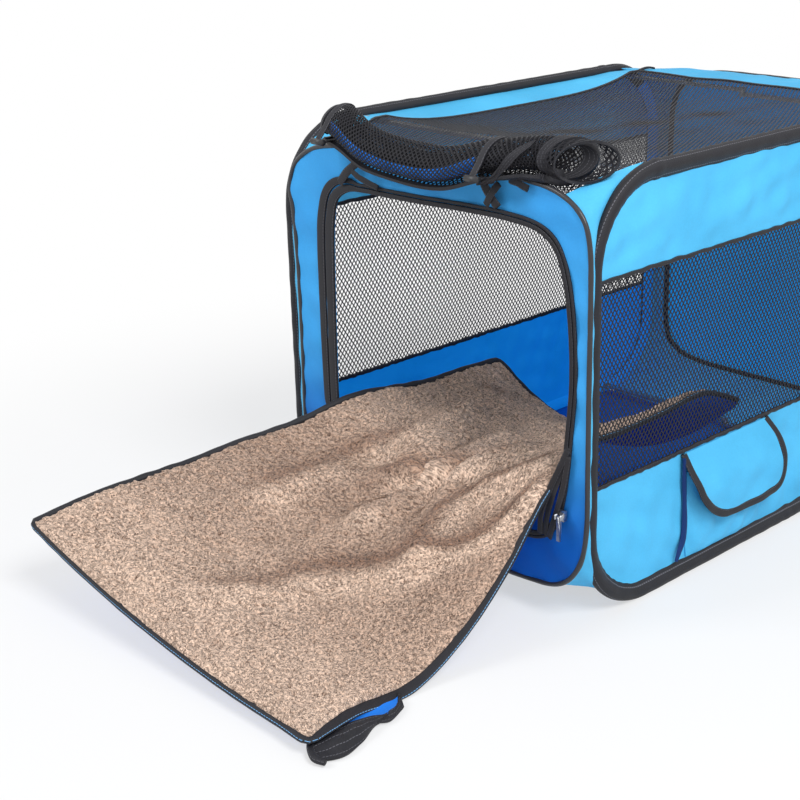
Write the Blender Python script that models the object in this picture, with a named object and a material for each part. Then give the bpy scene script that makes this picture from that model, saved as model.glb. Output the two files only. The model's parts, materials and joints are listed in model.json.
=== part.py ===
"""Soft folding dog crate: two steel tube rings, folding cross bars, a fabric shell and a fleece mat.

The crate stands on z = 0 with its front, the door side, facing -Y and its pocket side facing +X.
The origin is the middle of the floor panel's underside.
"""

import math

import bmesh
import bpy
from mathutils import Vector

# Driving sizes of the crate, over the ring bindings, in metres
WIDTH = 0.52
LENGTH = 0.76
HEIGHT = 0.53
CORNER_RADIUS = 0.11

# Clearances and walls
GAP = 0.0003
PANEL_THICKNESS = 0.002
FLOOR_THICKNESS = 0.003

# Ring tubes and the binding that wraps them
TUBE_RADIUS = 0.005
BINDING_RADIUS = 0.0082
BINDING_BORE = 0.007
BINDING_SLOT_FROM = math.radians(34)
BINDING_SLOT_TO = math.radians(80)
TUBE_SIDES = 8
BINDING_STEPS = 10
RING_CORNER_STEPS = 4

# Clip brackets, half bars and rivets
CLIP_WALL = 0.0014
CLIP_WIDTH = 0.016
CLIP_STEPS = 8
CLIP_FROM = math.radians(90)
CLIP_TO = math.radians(375)
PIVOT_REACH = 0.0175
TAB_END = 0.006
BAR_WIDTH = 0.012
BAR_THICKNESS = 0.004
BAR_INSET = 0.125
PIN_RADIUS = 0.0025
HEAD_RADIUS = 0.0042
HEAD_THICKNESS = 0.0015
ROUND_SIDES = 8
BAR_END_STEPS = 5
CUT_OVERRUN = 0.002
SMOOTH_ANGLE = math.radians(40)

# Side panels
WINDOW_BOTTOM = 0.165
UPPER_BAND_HEIGHT = 0.118
WINDOW_COLUMNS = 7
WINDOW_ROWS = 4
NET_STRAND = 0.012
NET_THICKNESS = 0.0014

# Roof
ROOF_STRIP_WIDTH = 0.04
ROOF_COLUMNS = 5
ROOF_ROWS = 6
ROOF_SAG = 0.006

# Front and rear panels with piping and gusset
FACE_FORWARD = 0.012
FACE_CENTRE_X = 0.005
FACE_SIDE_MARGIN = 0.0195
FACE_BOTTOM = 0.042
FACE_TOP_MARGIN = 0.013
FACE_CORNER = 0.06
PIPING_RADIUS = 0.0025
PIPING_SIDES = 6
GUSSET_THICKNESS = 0.0016
GUSSET_PUFF = 0.004
GUSSET_WRAP_DEPTH = 0.0045
GUSSET_CORNER = 0.012
GUSSET_SIDE_INSET = 0.003
FACE_CORNER_STEPS = 3
FACE_RUNS = 6

# Door opening, from the edges of the front panel's outline
DOOR_LEFT_MARGIN = 0.0855
DOOR_RIGHT_MARGIN = 0.0125
DOOR_BOTTOM_MARGIN = 0.07
DOOR_TOP_MARGIN = 0.065
DOOR_CORNER = 0.04
ZIP_TAPE_WIDTH = 0.01
ZIP_TAPE_THICKNESS = 0.003
ZIP_TAPE_SEAM = 0.002

# Zip slider and pull
SLIDER_WIDTH = 0.009
SLIDER_HEIGHT = 0.012
SLIDER_THICKNESS = 0.006
SLIDER_ABOVE_DOOR = 0.03
LUG_WIDTH = 0.0014
LUG_REACH = 0.006
LUG_HEIGHT = 0.006
BAIL_PIN_RADIUS = 0.0007
PULL_WIDTH = 0.005
PULL_LENGTH = 0.03
PULL_THICKNESS = 0.0012
PULL_HOLE_RADIUS = 0.0012
PULL_ABOVE = 0.0022

# Rolled door flap and its ties
ROLL_TURNS = 2.2
ROLL_STEPS_PER_TURN = 10
ROLL_INNER_SHARE = 0.28
ROLL_CLOTH_SHARE = 0.13
ROLL_STATIONS = 10
ROLL_SEARCH_STEPS = 30
ROLL_LONG = 0.036
ROLL_SHORT = 0.026
TIE_WIDTH = 0.01
TIE_THICKNESS = 0.0015
TIE_CLEARANCE = 0.0013
TIE_STEPS = 12
TIE_X = 0.135
TOGGLE_RADIUS = 0.004
TOGGLE_LENGTH = 0.02

# Rolled door flap, from left end to right end: place along the crate's half width, then forward of
# the front panel and above its top edge as shares of the roll's long radius, then both radii as
# shares of their full sizes, then the droop of the long axis as a share of a quarter turn, then how
# far the section slants to the right for each share that it lies further back
ROLL_SHARES = (
    (-0.67, -0.34, 0.68, 0.86, 0.76, 0.28, 0.0),
    (-0.52, 0.12, 0.745, 0.92, 0.66, 0.45, 0.0),
    (-0.29, 0.52, 0.3, 0.86, 0.58, 0.6, 0.0),
    (-0.02, 0.66, 0.1, 0.84, 0.56, 0.68, 0.0),
    (0.26, 0.64, 0.13, 0.84, 0.6, 0.62, 0.0),
    (0.52, 0.4, 0.575, 0.86, 0.76, 0.42, 0.05),
    (0.73, -0.14, 0.76, 0.92, 0.98, 0.2, 0.3),
    (0.87, -0.62, 0.67, 1.06, 1.06, 0.06, 0.5),
)

# Pocket and flap on the right side
POCKET_CENTRE_Y = -0.1125
POCKET_HALF_WIDTH = 0.0925
POCKET_BOTTOM = 0.022
POCKET_TOP_MARGIN = 0.027
POCKET_DEPTH = 0.0115
POCKET_BOTTOM_SHARE = 0.55
POCKET_WALL = 0.0015
POCKET_EDGE = 0.004
POCKET_STEPS = 10
POCKET_ROWS = 4
POCKET_FULLNESS = 0.45
FLAP_HALF_WIDTH = 0.085
FLAP_TOP_MARGIN = 0.002
FLAP_LENGTH = 0.094
FLAP_STRAIGHT_SHARE = 0.5
FLAP_FLARE = 0.024
FLAP_THICKNESS = 0.002
FLAP_ROUNDING = 2.4
FLAP_END_SHARE = 0.985
FLAP_ROWS = 9
FLAP_COLUMNS = 8
PATCH_HALF_WIDTH = 0.018
PATCH_HEIGHT = 0.02
PATCH_THICKNESS = 0.0012

# Fleece mat
MAT_WIDTH = 0.5
MAT_LENGTH = 0.78
MAT_CORNER = 0.035
MAT_BASE = 0.003
MAT_FLEECE = 0.008
MAT_CROWN = 0.004
MAT_CROWN_ACROSS_POWER = 4
MAT_CROWN_ALONG_POWER = 8
MAT_BINDING_WIDTH = 0.009
MAT_BINDING_HEIGHT = 0.008
MAT_BINDING_CHAMFER = 0.002
MAT_COLUMNS = 12
MAT_MIDDLE_ROWS = 15
MAT_CORNER_STEPS = 4
MAT_WAVE = 0.006
MAT_FOLDS = 9
MAT_FAN_SHARE = 0.12
MAT_DOOR_SHARE = 0.55
MAT_FOLD_SHARE = 0.28
MAT_LIFT_SAMPLES = 80
MAT_SEAT_GAP = 0.0011
SHARE_STEP = 0.01
MAT_FLAP_LENGTH = 0.115
MAT_FLAP_WIDTH = 0.034
MAT_FLAP_THICKNESS = 0.002
MAT_FLAP_STEPS = 6
MAT_FLAP_START = 0.03
MAT_FLAP_FLOOR = 0.0008
MAT_FLAP_TUCK = -0.0009

# Mat edges, from the end on the ground outside to the end inside: shares of the crate's width,
# length and height, along the left edge and along the right edge
MAT_LEFT_SHARES = (
    (-0.554, -1.020, 0.178),
    (-0.522, -0.931, 0.208),
    (-0.490, -0.841, 0.227),
    (-0.458, -0.751, 0.243),
    (-0.412, -0.665, 0.272),
    (-0.338, -0.586, 0.310),
    (-0.281, -0.514, 0.352),
    (-0.281, -0.421, 0.341),
    (-0.281, -0.328, 0.324),
    (-0.281, -0.235, 0.326),
    (-0.281, -0.141, 0.324),
)
MAT_RIGHT_SHARES = (
    (0.452, -1.030, 0.028),
    (0.410, -0.932, 0.017),
    (0.408, -0.818, 0.0045),
    (0.411, -0.711, 0.066),
    (0.420, -0.619, 0.175),
    (0.425, -0.542, 0.298),
    (0.414, -0.451, 0.377),
    (0.399, -0.336, 0.367),
    (0.389, -0.220, 0.365),
    (0.385, -0.105, 0.370),
    (0.385, 0.000, 0.311),
)
MAT_MIDDLE_SAG_SHARES = (
    0.040, 0.046, 0.052, 0.060, 0.078, 0.113, 0.114, 0.105, 0.112, 0.143, 0.180,
)

# Colours
BLUE = (0.04, 0.29, 0.83)
PALE_BLUE = (0.10, 0.45, 0.90)
BLACK = (0.03, 0.03, 0.035)
FLEECE = (0.52, 0.38, 0.29)
STEEL = (0.55, 0.56, 0.58)
SILVER = (0.75, 0.75, 0.76)

RING_CENTRE_X = WIDTH / 2 - BINDING_RADIUS
RING_HALF_Y = LENGTH / 2 - BINDING_RADIUS
RING_HALF_Z = HEIGHT / 2 - BINDING_RADIUS
RING_ARC = CORNER_RADIUS - BINDING_RADIUS
PANEL_INSET = BINDING_RADIUS + GAP
SHELL_HALF_WIDTH = RING_CENTRE_X - PANEL_INSET
FRONT_Y = -(LENGTH / 2 + FACE_FORWARD)
TAB_OFFSET = TUBE_RADIUS + GAP + CLIP_WALL / 2
PIVOT_X = RING_CENTRE_X - PIVOT_REACH
BAR_GAP = CLIP_WALL / 2 + GAP
BAR_Y = LENGTH / 2 - BAR_INSET
WINDOW_TOP = HEIGHT - UPPER_BAND_HEIGHT
FACE_HALF_WIDTH = WIDTH / 2 - FACE_SIDE_MARGIN
FACE_TOP = HEIGHT - FACE_TOP_MARGIN
DOOR_LEFT = FACE_CENTRE_X - FACE_HALF_WIDTH + DOOR_LEFT_MARGIN
DOOR_RIGHT = FACE_CENTRE_X + FACE_HALF_WIDTH - DOOR_RIGHT_MARGIN
DOOR_BOTTOM = FACE_BOTTOM + DOOR_BOTTOM_MARGIN
DOOR_TOP = FACE_TOP - DOOR_TOP_MARGIN
SLIDER_X = DOOR_RIGHT + ZIP_TAPE_SEAM
SLIDER_Z = DOOR_BOTTOM + SLIDER_ABOVE_DOOR
SLIDER_BACK = FRONT_Y - PANEL_THICKNESS / 2 - GAP - ZIP_TAPE_THICKNESS - GAP
POCKET_TOP = WINDOW_BOTTOM - POCKET_TOP_MARGIN
FLAP_TOP = WINDOW_BOTTOM - FLAP_TOP_MARGIN


def clear_scene():
    for obj in list(bpy.data.objects):
        bpy.data.objects.remove(obj, do_unlink=True)


def material_of(name, colour, roughness, metallic=0.0):
    material = bpy.data.materials.new(name)
    material.use_nodes = True
    shader = material.node_tree.nodes["Principled BSDF"]
    shader.inputs["Base Color"].default_value = (*colour, 1.0)
    shader.inputs["Roughness"].default_value = roughness
    shader.inputs["Metallic"].default_value = metallic
    return material


def piece(name, points, faces, material, pivot=(0.0, 0.0, 0.0), smooth=True):
    """A closed mesh object whose origin is its pivot, with its faces turned outwards."""
    origin = Vector(pivot)
    mesh = bpy.data.meshes.new(name)
    mesh.from_pydata([Vector(p) - origin for p in points], [], faces)
    shape = bmesh.new()
    shape.from_mesh(mesh)
    bmesh.ops.recalc_face_normals(shape, faces=shape.faces)
    shape.to_mesh(mesh)
    shape.free()
    if smooth:
        mesh.shade_smooth()
        mesh.set_sharp_from_angle(angle=SMOOTH_ANGLE)
    mesh.materials.append(material)
    obj = bpy.data.objects.new(name, mesh)
    obj.location = origin
    bpy.context.scene.collection.objects.link(obj)
    return obj


def helper(name, points, faces, place):
    """A hidden solid that a Boolean joins to a piece or cuts from it."""
    obj = piece(name, points, faces, HELPER, place, smooth=False)
    obj.hide_render = True
    obj.display_type = "WIRE"
    return obj


def boolean(obj, other, operation):
    modifier = obj.modifiers.new(operation.lower() + "_" + other.name, "BOOLEAN")
    modifier.operation = operation
    modifier.object = other


def turned(profile, sides, centre):
    """Points and faces of a solid turned about the upright line through centre; profile is (r, z)."""
    points = []
    for radius, z in profile:
        for k in range(sides):
            angle = 2 * math.pi * k / sides
            points.append(centre + Vector((radius * math.cos(angle), radius * math.sin(angle), z)))
    faces = [tuple(range(sides)), tuple(range(len(points) - sides, len(points)))]
    for row in range(len(profile) - 1):
        for k in range(sides):
            after = (k + 1) % sides
            low, high = row * sides, (row + 1) * sides
            faces.append((low + k, low + after, high + after, high + k))
    return points, faces


def swept(stations, section, closed):
    """A section of (out, side) points carried along stations of (point, out, side)."""
    points = [p + out * a + side * b for p, out, side in stations for a, b in section]
    count, rows = len(section), len(stations)
    faces = []
    for row in range(rows if closed else rows - 1):
        low, high = row * count, (row + 1) % rows * count
        for k in range(count):
            after = (k + 1) % count
            faces.append((low + k, low + after, high + after, high + k))
    if not closed:
        faces.append(tuple(range(count)))
        faces.append(tuple(range(count * (rows - 1), count * rows)))
    return points, faces


def outline(half_a, half_b, radius, steps, runs):
    """A rounded rectangle as (a, b, out_a, out_b), with runs cosine-spaced spans on each straight."""
    found = []
    for corner in range(4):
        sign_a = 1 if corner in (0, 3) else -1
        sign_b = 1 if corner in (0, 1) else -1
        centre_a, centre_b = sign_a * (half_a - radius), sign_b * (half_b - radius)
        for k in range(steps + 1):
            angle = math.pi / 2 * (corner + k / steps)
            out_a, out_b = math.cos(angle), math.sin(angle)
            found.append((centre_a + radius * out_a, centre_b + radius * out_b, out_a, out_b))
        after = (corner + 1) % 4
        next_a = (1 if after in (0, 3) else -1) * (half_a - radius)
        next_b = (1 if after in (0, 1) else -1) * (half_b - radius)
        start = found[-1]
        end = (next_a + radius * start[2], next_b + radius * start[3])
        for k in range(1, runs):
            share = (1 - math.cos(math.pi * k / runs)) / 2
            a = start[0] + (end[0] - start[0]) * share
            b = start[1] + (end[1] - start[1]) * share
            found.append((a, b, start[2], start[3]))
    return found


def ring_section(sides, radius):
    return [
        (radius * math.cos(2 * math.pi * k / sides), radius * math.sin(2 * math.pi * k / sides))
        for k in range(sides)
    ]


def ring_stations(side):
    """Stations round a side ring's centre line; out is outwards in its plane, side is across it."""
    across = Vector((side, 0, 0))
    return [
        (Vector((side * RING_CENTRE_X, a, HEIGHT / 2 + b)), Vector((0, out_a, out_b)), across)
        for a, b, out_a, out_b in outline(RING_HALF_Y, RING_HALF_Z, RING_ARC, RING_CORNER_STEPS, 1)
    ]


def frame_tube(name, side):
    points, faces = swept(ring_stations(side), ring_section(TUBE_SIDES, TUBE_RADIUS), True)
    piece(name, points, faces, STEEL_TUBE)


def edge_binding(name, side):
    """A C-shaped sleeve round the ring, open towards the inside where the clip tabs come out."""
    sweep = 2 * math.pi - (BINDING_SLOT_TO - BINDING_SLOT_FROM)
    section = []
    for radius, order in ((BINDING_RADIUS, 1), (BINDING_BORE, -1)):
        for k in range(BINDING_STEPS + 1)[::order]:
            # Measured from straight inwards across the ring, turning towards the ring's middle
            turn = BINDING_SLOT_TO + sweep * k / BINDING_STEPS
            section.append((-radius * math.sin(turn), -radius * math.cos(turn)))
    points, faces = swept(ring_stations(side), section, True)
    piece(name, points, faces, BLACK_BINDING)


def clip_bracket(name, side, level, y):
    """A clip round the ring tube whose tangent tab carries an upright pivot pin with a head.

    side is -1 for the left ring and 1 for the right; level is -1 for the bottom and 1 for the top.
    The left clips carry their bar above the tab, the right clips below it.
    """
    inner, outer = TUBE_RADIUS + GAP, TUBE_RADIUS + GAP + CLIP_WALL
    tab_end = PIVOT_REACH + TAB_END
    profile = []
    for k in range(CLIP_STEPS + 1):
        angle = CLIP_FROM + (CLIP_TO - CLIP_FROM) * k / CLIP_STEPS
        profile.append((outer * math.cos(angle), outer * math.sin(angle)))
    for k in range(CLIP_STEPS + 1)[::-1]:
        angle = CLIP_FROM + (CLIP_TO - CLIP_FROM) * k / CLIP_STEPS
        profile.append((inner * math.cos(angle), inner * math.sin(angle)))
    profile += [(tab_end, inner), (tab_end, outer)]
    centre = Vector((side * RING_CENTRE_X, y, ring_level(level)))
    points = []
    for end in (-1, 1):
        for a, b in profile:
            points.append(centre + Vector((-side * a, end * CLIP_WIDTH / 2, -level * b)))
    count = len(profile)
    faces = [tuple(range(count)), tuple(range(count, 2 * count))]
    for k in range(count):
        after = (k + 1) % count
        faces.append((k, after, count + after, count + k))
    bracket = piece(name, points, faces, STEEL_PLATE, centre, smooth=False)
    up = -side
    tab_z = tab_level(level)
    head = BAR_GAP + BAR_THICKNESS + GAP
    profile = [
        (PIN_RADIUS, 0.0),
        (PIN_RADIUS, head),
        (HEAD_RADIUS, head),
        (HEAD_RADIUS, head + HEAD_THICKNESS),
    ]
    place = Vector((side * PIVOT_X, y, tab_z))
    points, faces = turned([(r, up * z) for r, z in profile], ROUND_SIDES, place)
    boolean(bracket, helper(name + "_pin", points, faces, place), "UNION")


def ring_level(level):
    return HEIGHT / 2 + level * RING_HALF_Z


def tab_level(level):
    """Height of a clip tab's middle: the tab is tangent to its clip on the crate's inner side."""
    return ring_level(level) - level * TAB_OFFSET


def half_bar(name, side, level, y):
    """A flat steel bar from a ring's pivot to the middle rivet; the left one lies over the right one."""
    z = tab_level(level) - side * (BAR_GAP + BAR_THICKNESS / 2)
    radius = BAR_WIDTH / 2
    rim = []
    for x, turn in ((0.0, -side), (side * PIVOT_X, side)):
        for k in range(BAR_END_STEPS + 1):
            angle = -math.pi / 2 + math.pi * k / BAR_END_STEPS
            rim.append((x + turn * radius * math.cos(angle), y + turn * side * radius * math.sin(angle)))
    points = [Vector((x, py, z + end * BAR_THICKNESS / 2)) for end in (-1, 1) for x, py in rim]
    count = len(rim)
    faces = [tuple(range(count)), tuple(range(count, 2 * count))]
    for k in range(count):
        after = (k + 1) % count
        faces.append((k, after, count + after, count + k))
    pivot = Vector((side * PIVOT_X if side < 0 else 0.0, y, z))
    bar = piece(name, points, faces, STEEL_PLATE, pivot, smooth=False)
    deep = BAR_THICKNESS / 2 + CUT_OVERRUN
    for end, x in (("_ring_hole", side * PIVOT_X), ("_middle_hole", 0.0)):
        place = Vector((x, y, z))
        hole = turned([(PIN_RADIUS + GAP, -deep), (PIN_RADIUS + GAP, deep)], ROUND_SIDES, place)
        boolean(bar, helper(name + end, *hole, place), "DIFFERENCE")


def middle_rivet(name, level, y):
    """A rivet through both half bars, with a collar that fills the space between them."""
    collar = BAR_GAP - GAP
    head = BAR_GAP + BAR_THICKNESS + GAP
    profile = [
        (HEAD_RADIUS, -head - HEAD_THICKNESS),
        (HEAD_RADIUS, -head),
        (PIN_RADIUS, -head),
        (PIN_RADIUS, -collar),
        (HEAD_RADIUS, -collar),
        (HEAD_RADIUS, collar),
        (PIN_RADIUS, collar),
        (PIN_RADIUS, head),
        (HEAD_RADIUS, head),
        (HEAD_RADIUS, head + HEAD_THICKNESS),
    ]
    place = Vector((0, y, tab_level(level)))
    points, faces = turned(profile, ROUND_SIDES, place)
    piece(name, points, faces, STEEL_PLATE, place)


def cross_bars():
    for end, end_sign in (("front", -1), ("rear", 1)):
        y = end_sign * BAR_Y
        for level_name, level in (("bottom", -1), ("top", 1)):
            for side_name, side in (("left", -1), ("right", 1)):
                place = f"{level_name}_{end}_{side_name}"
                clip_bracket("clip_" + place, side, level, y)
                half_bar("bar_" + place, side, level, y)
            middle_rivet(f"rivet_{level_name}_{end}", level, y)


def net(name, columns, rows, place, material, sag=0.0):
    """A flat net of strands NET_STRAND wide; place(u, v) gives a point for shares u and v of its area."""
    size_u = (place(1, 0) - place(0, 0)).length
    size_v = (place(0, 1) - place(0, 0)).length

    def lines(count, size):
        hole = (size - NET_STRAND * (count + 1)) / count
        found = [0.0]
        for _ in range(count):
            found += [found[-1] + NET_STRAND, found[-1] + NET_STRAND + hole]
        return [value / size for value in found + [size]]

    across, along = lines(columns, size_u), lines(rows, size_v)
    points = []
    for v in along:
        for u in across:
            drop = sag * 16 * u * (1 - u) * v * (1 - v)
            points.append(place(u, v) - Vector((0, 0, drop)))
    width = len(across)
    faces = []
    for j in range(len(along) - 1):
        for i in range(width - 1):
            if i % 2 and j % 2:
                continue
            low, high = j * width + i, (j + 1) * width + i
            faces.append((low, low + 1, high + 1, high))
    obj = piece(name, points, faces, material, smooth=False)
    solidify = obj.modifiers.new("thickness", "SOLIDIFY")
    solidify.thickness = NET_THICKNESS
    solidify.offset = 0.0
    solidify.use_even_offset = True


def side_band(name, side, low, high, material):
    """A flat fabric band that fills the ring between two heights, with the ring's round corners."""
    inner = outline(
        RING_HALF_Y - PANEL_INSET, RING_HALF_Z - PANEL_INSET, RING_ARC - PANEL_INSET, RING_CORNER_STEPS, 1
    )
    rim = [(a, HEIGHT / 2 + b) for a, b, _, _ in inner if low <= HEIGHT / 2 + b <= high]
    reach = RING_HALF_Y - PANEL_INSET
    cuts = [z for z in (low, high) if CORNER_RADIUS < z < HEIGHT - CORNER_RADIUS]
    rim += [(sign * reach, z) for z in cuts for sign in (-1, 1)]
    rim.sort(key=lambda p: math.atan2(p[1] - (low + high) / 2, p[0]))
    points = []
    for end in (-1, 1):
        x = side * RING_CENTRE_X + end * PANEL_THICKNESS / 2
        points += [Vector((x, y, z)) for y, z in rim]
    count = len(rim)
    faces = [tuple(range(count)), tuple(range(count, 2 * count))]
    for k in range(count):
        after = (k + 1) % count
        faces.append((k, after, count + after, count + k))
    piece(name, points, faces, material, smooth=False)


def side_panels(prefix, side):
    side_band(prefix + "_upper_band", side, WINDOW_TOP, HEIGHT, PALE_FABRIC)
    side_band(prefix + "_lower_band", side, 0.0, WINDOW_BOTTOM, BLUE_FABRIC)
    reach = RING_HALF_Y - PANEL_INSET
    low, high = WINDOW_BOTTOM + GAP, WINDOW_TOP - GAP

    def place(u, v):
        return Vector((side * RING_CENTRE_X, -reach + 2 * reach * u, low + (high - low) * v))

    net(prefix + "_window_mesh", WINDOW_COLUMNS, WINDOW_ROWS, place, BLACK_NET)


def box(name, low, high, material):
    points = [
        Vector((x, y, z)) for x in (low[0], high[0]) for y in (low[1], high[1]) for z in (low[2], high[2])
    ]
    faces = [(0, 1, 3, 2), (4, 5, 7, 6), (0, 1, 5, 4), (2, 3, 7, 6), (0, 2, 6, 4), (1, 3, 7, 5)]
    return piece(name, points, faces, material, smooth=False)


def floor_and_roof():
    reach = LENGTH / 2 - CORNER_RADIUS - GAP
    above = BINDING_RADIUS - FLOOR_THICKNESS
    half = RING_CENTRE_X - math.sqrt(BINDING_RADIUS**2 - above**2) - GAP
    box("floor_panel", (-half, -reach, 0.0), (half, reach, FLOOR_THICKNESS), BLUE_FABRIC)
    roof_z = HEIGHT - GUSSET_WRAP_DEPTH
    strip = -SHELL_HALF_WIDTH + ROOF_STRIP_WIDTH
    low, high = roof_z - PANEL_THICKNESS / 2, roof_z + PANEL_THICKNESS / 2
    box("roof_strip", (-SHELL_HALF_WIDTH, -reach, low), (strip, reach, high), PALE_FABRIC)

    def place(u, v):
        left = strip + GAP
        return Vector((left + (SHELL_HALF_WIDTH - left) * u, -reach + 2 * reach * v, roof_z))

    net("roof_mesh", ROOF_COLUMNS, ROOF_ROWS, place, BLACK_NET, ROOF_SAG)


def face_outline(inset):
    middle = (FACE_TOP + FACE_BOTTOM) / 2
    found = outline(
        FACE_HALF_WIDTH - inset, (FACE_TOP - FACE_BOTTOM) / 2 - inset, FACE_CORNER - inset,
        FACE_CORNER_STEPS, FACE_RUNS,
    )
    return [(FACE_CENTRE_X + x, middle + z, out_x, out_z) for x, z, out_x, out_z in found]


def wrap_y(z):
    """How far forward of the middle the ring's wrap surface lies at a height."""
    half = HEIGHT / 2 - GUSSET_WRAP_DEPTH
    radius = CORNER_RADIUS - GUSSET_WRAP_DEPTH
    past = max(0.0, abs(z - HEIGHT / 2) - (half - radius))
    return LENGTH / 2 - GUSSET_WRAP_DEPTH - radius + math.sqrt(max(0.0, radius**2 - past**2))


def gusset(name, facing):
    """The soft wall from the face panel's piping back to the rings, the roof and the floor."""
    front = face_outline(0.0)
    back = outline(
        SHELL_HALF_WIDTH - GUSSET_SIDE_INSET, HEIGHT / 2 - GUSSET_WRAP_DEPTH, GUSSET_CORNER,
        FACE_CORNER_STEPS, FACE_RUNS,
    )
    behind = facing * (-FRONT_Y - PIPING_RADIUS - GAP)
    rows = [[], [], []]
    for (x, z, _, out_z), (far_x, far_z, _, _) in zip(front, back):
        first = Vector((x, behind, z))
        last = Vector((far_x, facing * wrap_y(HEIGHT / 2 + far_z), HEIGHT / 2 + far_z))
        middle = (first + last) / 2 + Vector((0, 0, out_z)) * GUSSET_PUFF
        for row, point in zip(rows, (first, middle, last)):
            row.append(point)
    count = len(front)
    layers = [rows, [[None] * count for _ in rows]]
    for r in range(3):
        for k in range(count):
            around = rows[r][(k + 1) % count] - rows[r][k - 1]
            along = rows[min(r + 1, 2)][k] - rows[max(r - 1, 0)][k]
            normal = around.cross(along).normalized()
            middle = Vector((0, rows[r][k].y, HEIGHT / 2))
            if normal.dot(rows[r][k] - middle) > 0:
                normal.negate()
            layers[1][r][k] = rows[r][k] + normal * GUSSET_THICKNESS
    points = [p for layer in layers for row in layer for p in row]
    faces = []
    for k in range(count):
        after = (k + 1) % count
        for layer in range(2):
            for r in range(2):
                low = (layer * 3 + r) * count
                faces.append((low + k, low + after, low + count + after, low + count + k))
        for r in (0, 2):
            low, high = r * count, (3 + r) * count
            faces.append((low + k, low + after, high + after, high + k))
    piece(name, points, faces, PALE_FABRIC)


def piping(name, facing):
    across = Vector((0, 1, 0))
    y = -facing * FRONT_Y
    stations = [(Vector((x, y, z)), Vector((ox, 0, oz)), across) for x, z, ox, oz in face_outline(0.0)]
    points, faces = swept(stations, ring_section(PIPING_SIDES, PIPING_RADIUS), True)
    piece(name, points, faces, BLACK_PIPING)


def door_outline(inset):
    middle_x, middle_z = (DOOR_LEFT + DOOR_RIGHT) / 2, (DOOR_BOTTOM + DOOR_TOP) / 2
    found = outline(
        (DOOR_RIGHT - DOOR_LEFT) / 2 - inset, (DOOR_TOP - DOOR_BOTTOM) / 2 - inset, DOOR_CORNER - inset,
        FACE_CORNER_STEPS, FACE_RUNS,
    )
    return [(middle_x + x, middle_z + z) for x, z, _, _ in found]


def flat_frame(name, outer, inner, y_low, y_high, material):
    """A flat frame between two outlines with as many points each."""
    points = [Vector((x, y, z)) for y in (y_low, y_high) for rim in (outer, inner) for x, z in rim]
    count = len(outer)
    faces = []
    for k in range(count):
        after = (k + 1) % count
        for low, high in ((0, 1), (2, 3), (0, 2), (1, 3)):
            low, high = low * count, high * count
            faces.append((low + k, low + after, high + after, high + k))
    piece(name, points, faces, material, smooth=False)


def front_and_rear():
    inset = PIPING_RADIUS + GAP
    panel = [(x, z) for x, z, _, _ in face_outline(inset)]
    half = PANEL_THICKNESS / 2
    hole = door_outline(-ZIP_TAPE_SEAM)
    flat_frame("front_panel", panel, hole, FRONT_Y - half, FRONT_Y + half, BLUE_FABRIC)
    tape_back = FRONT_Y - half - GAP
    flat_frame(
        "door_zip_tape", door_outline(-ZIP_TAPE_WIDTH), door_outline(0.0),
        tape_back - ZIP_TAPE_THICKNESS, tape_back, BLACK_BINDING,
    )
    points = [Vector((x, -FRONT_Y + end * half, z)) for end in (-1, 1) for x, z in panel]
    count = len(panel)
    faces = [tuple(range(count)), tuple(range(count, 2 * count))]
    for k in range(count):
        after = (k + 1) % count
        faces.append((k, after, count + after, count + k))
    piece("rear_panel", points, faces, BLUE_FABRIC, smooth=False)
    for prefix, facing in (("front", -1), ("rear", 1)):
        piping(prefix + "_piping", facing)
        gusset(prefix + "_gusset", facing)


def zip_parts():
    x = SLIDER_X
    front = SLIDER_BACK - SLIDER_THICKNESS
    half = SLIDER_WIDTH / 2
    z_low, z_high = SLIDER_Z - SLIDER_HEIGHT / 2, SLIDER_Z + SLIDER_HEIGHT / 2
    slider = box("zip_slider", (x - half, front, z_low), (x + half, SLIDER_BACK, z_high), SILVER_METAL)
    move_origin(slider, Vector((x, front, SLIDER_Z)))
    pin_y = front - LUG_REACH / 2
    lug = LUG_HEIGHT / 2
    for end, sign in (("_lug_left", -1), ("_lug_right", 1)):
        inner = x + sign * (half - LUG_WIDTH)
        outer = x + sign * half
        low = (min(inner, outer), front - LUG_REACH, SLIDER_Z - lug)
        high = (max(inner, outer), front + LUG_REACH / 2, SLIDER_Z + lug)
        part = box("zip_slider" + end, low, high, HELPER)
        part.hide_render = True
        part.display_type = "WIRE"
        boolean(slider, part, "UNION")
    across = Vector((0, 1, 0))
    stations = [
        (Vector((x + sign * (half - LUG_WIDTH / 2), pin_y, SLIDER_Z)), across, Vector((0, 0, 1)))
        for sign in (-1, 1)
    ]
    points, faces = swept(stations, ring_section(PIPING_SIDES, BAIL_PIN_RADIUS), False)
    boolean(slider, helper("zip_slider_pin", points, faces, (x, pin_y, SLIDER_Z)), "UNION")
    pull_half = PULL_WIDTH / 2
    pull = box(
        "zip_pull",
        (x - pull_half, pin_y - PULL_THICKNESS, SLIDER_Z - PULL_LENGTH),
        (x + pull_half, pin_y + PULL_THICKNESS, SLIDER_Z + PULL_ABOVE), SILVER_METAL,
    )
    move_origin(pull, Vector((x, pin_y, SLIDER_Z)))
    reach = pull_half + CUT_OVERRUN
    stations = [(Vector((x + sign * reach, pin_y, SLIDER_Z)), across, Vector((0, 0, 1))) for sign in (-1, 1)]
    points, faces = swept(stations, ring_section(PIPING_SIDES, PULL_HOLE_RADIUS), False)
    boolean(pull, helper("zip_pull_hole", points, faces, (x, pin_y, SLIDER_Z)), "DIFFERENCE")


def move_origin(obj, place):
    """Moves an object's origin to a place without moving its shape."""
    shift = place - obj.location
    for vertex in obj.data.vertices:
        vertex.co -= shift
    obj.location = place


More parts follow.
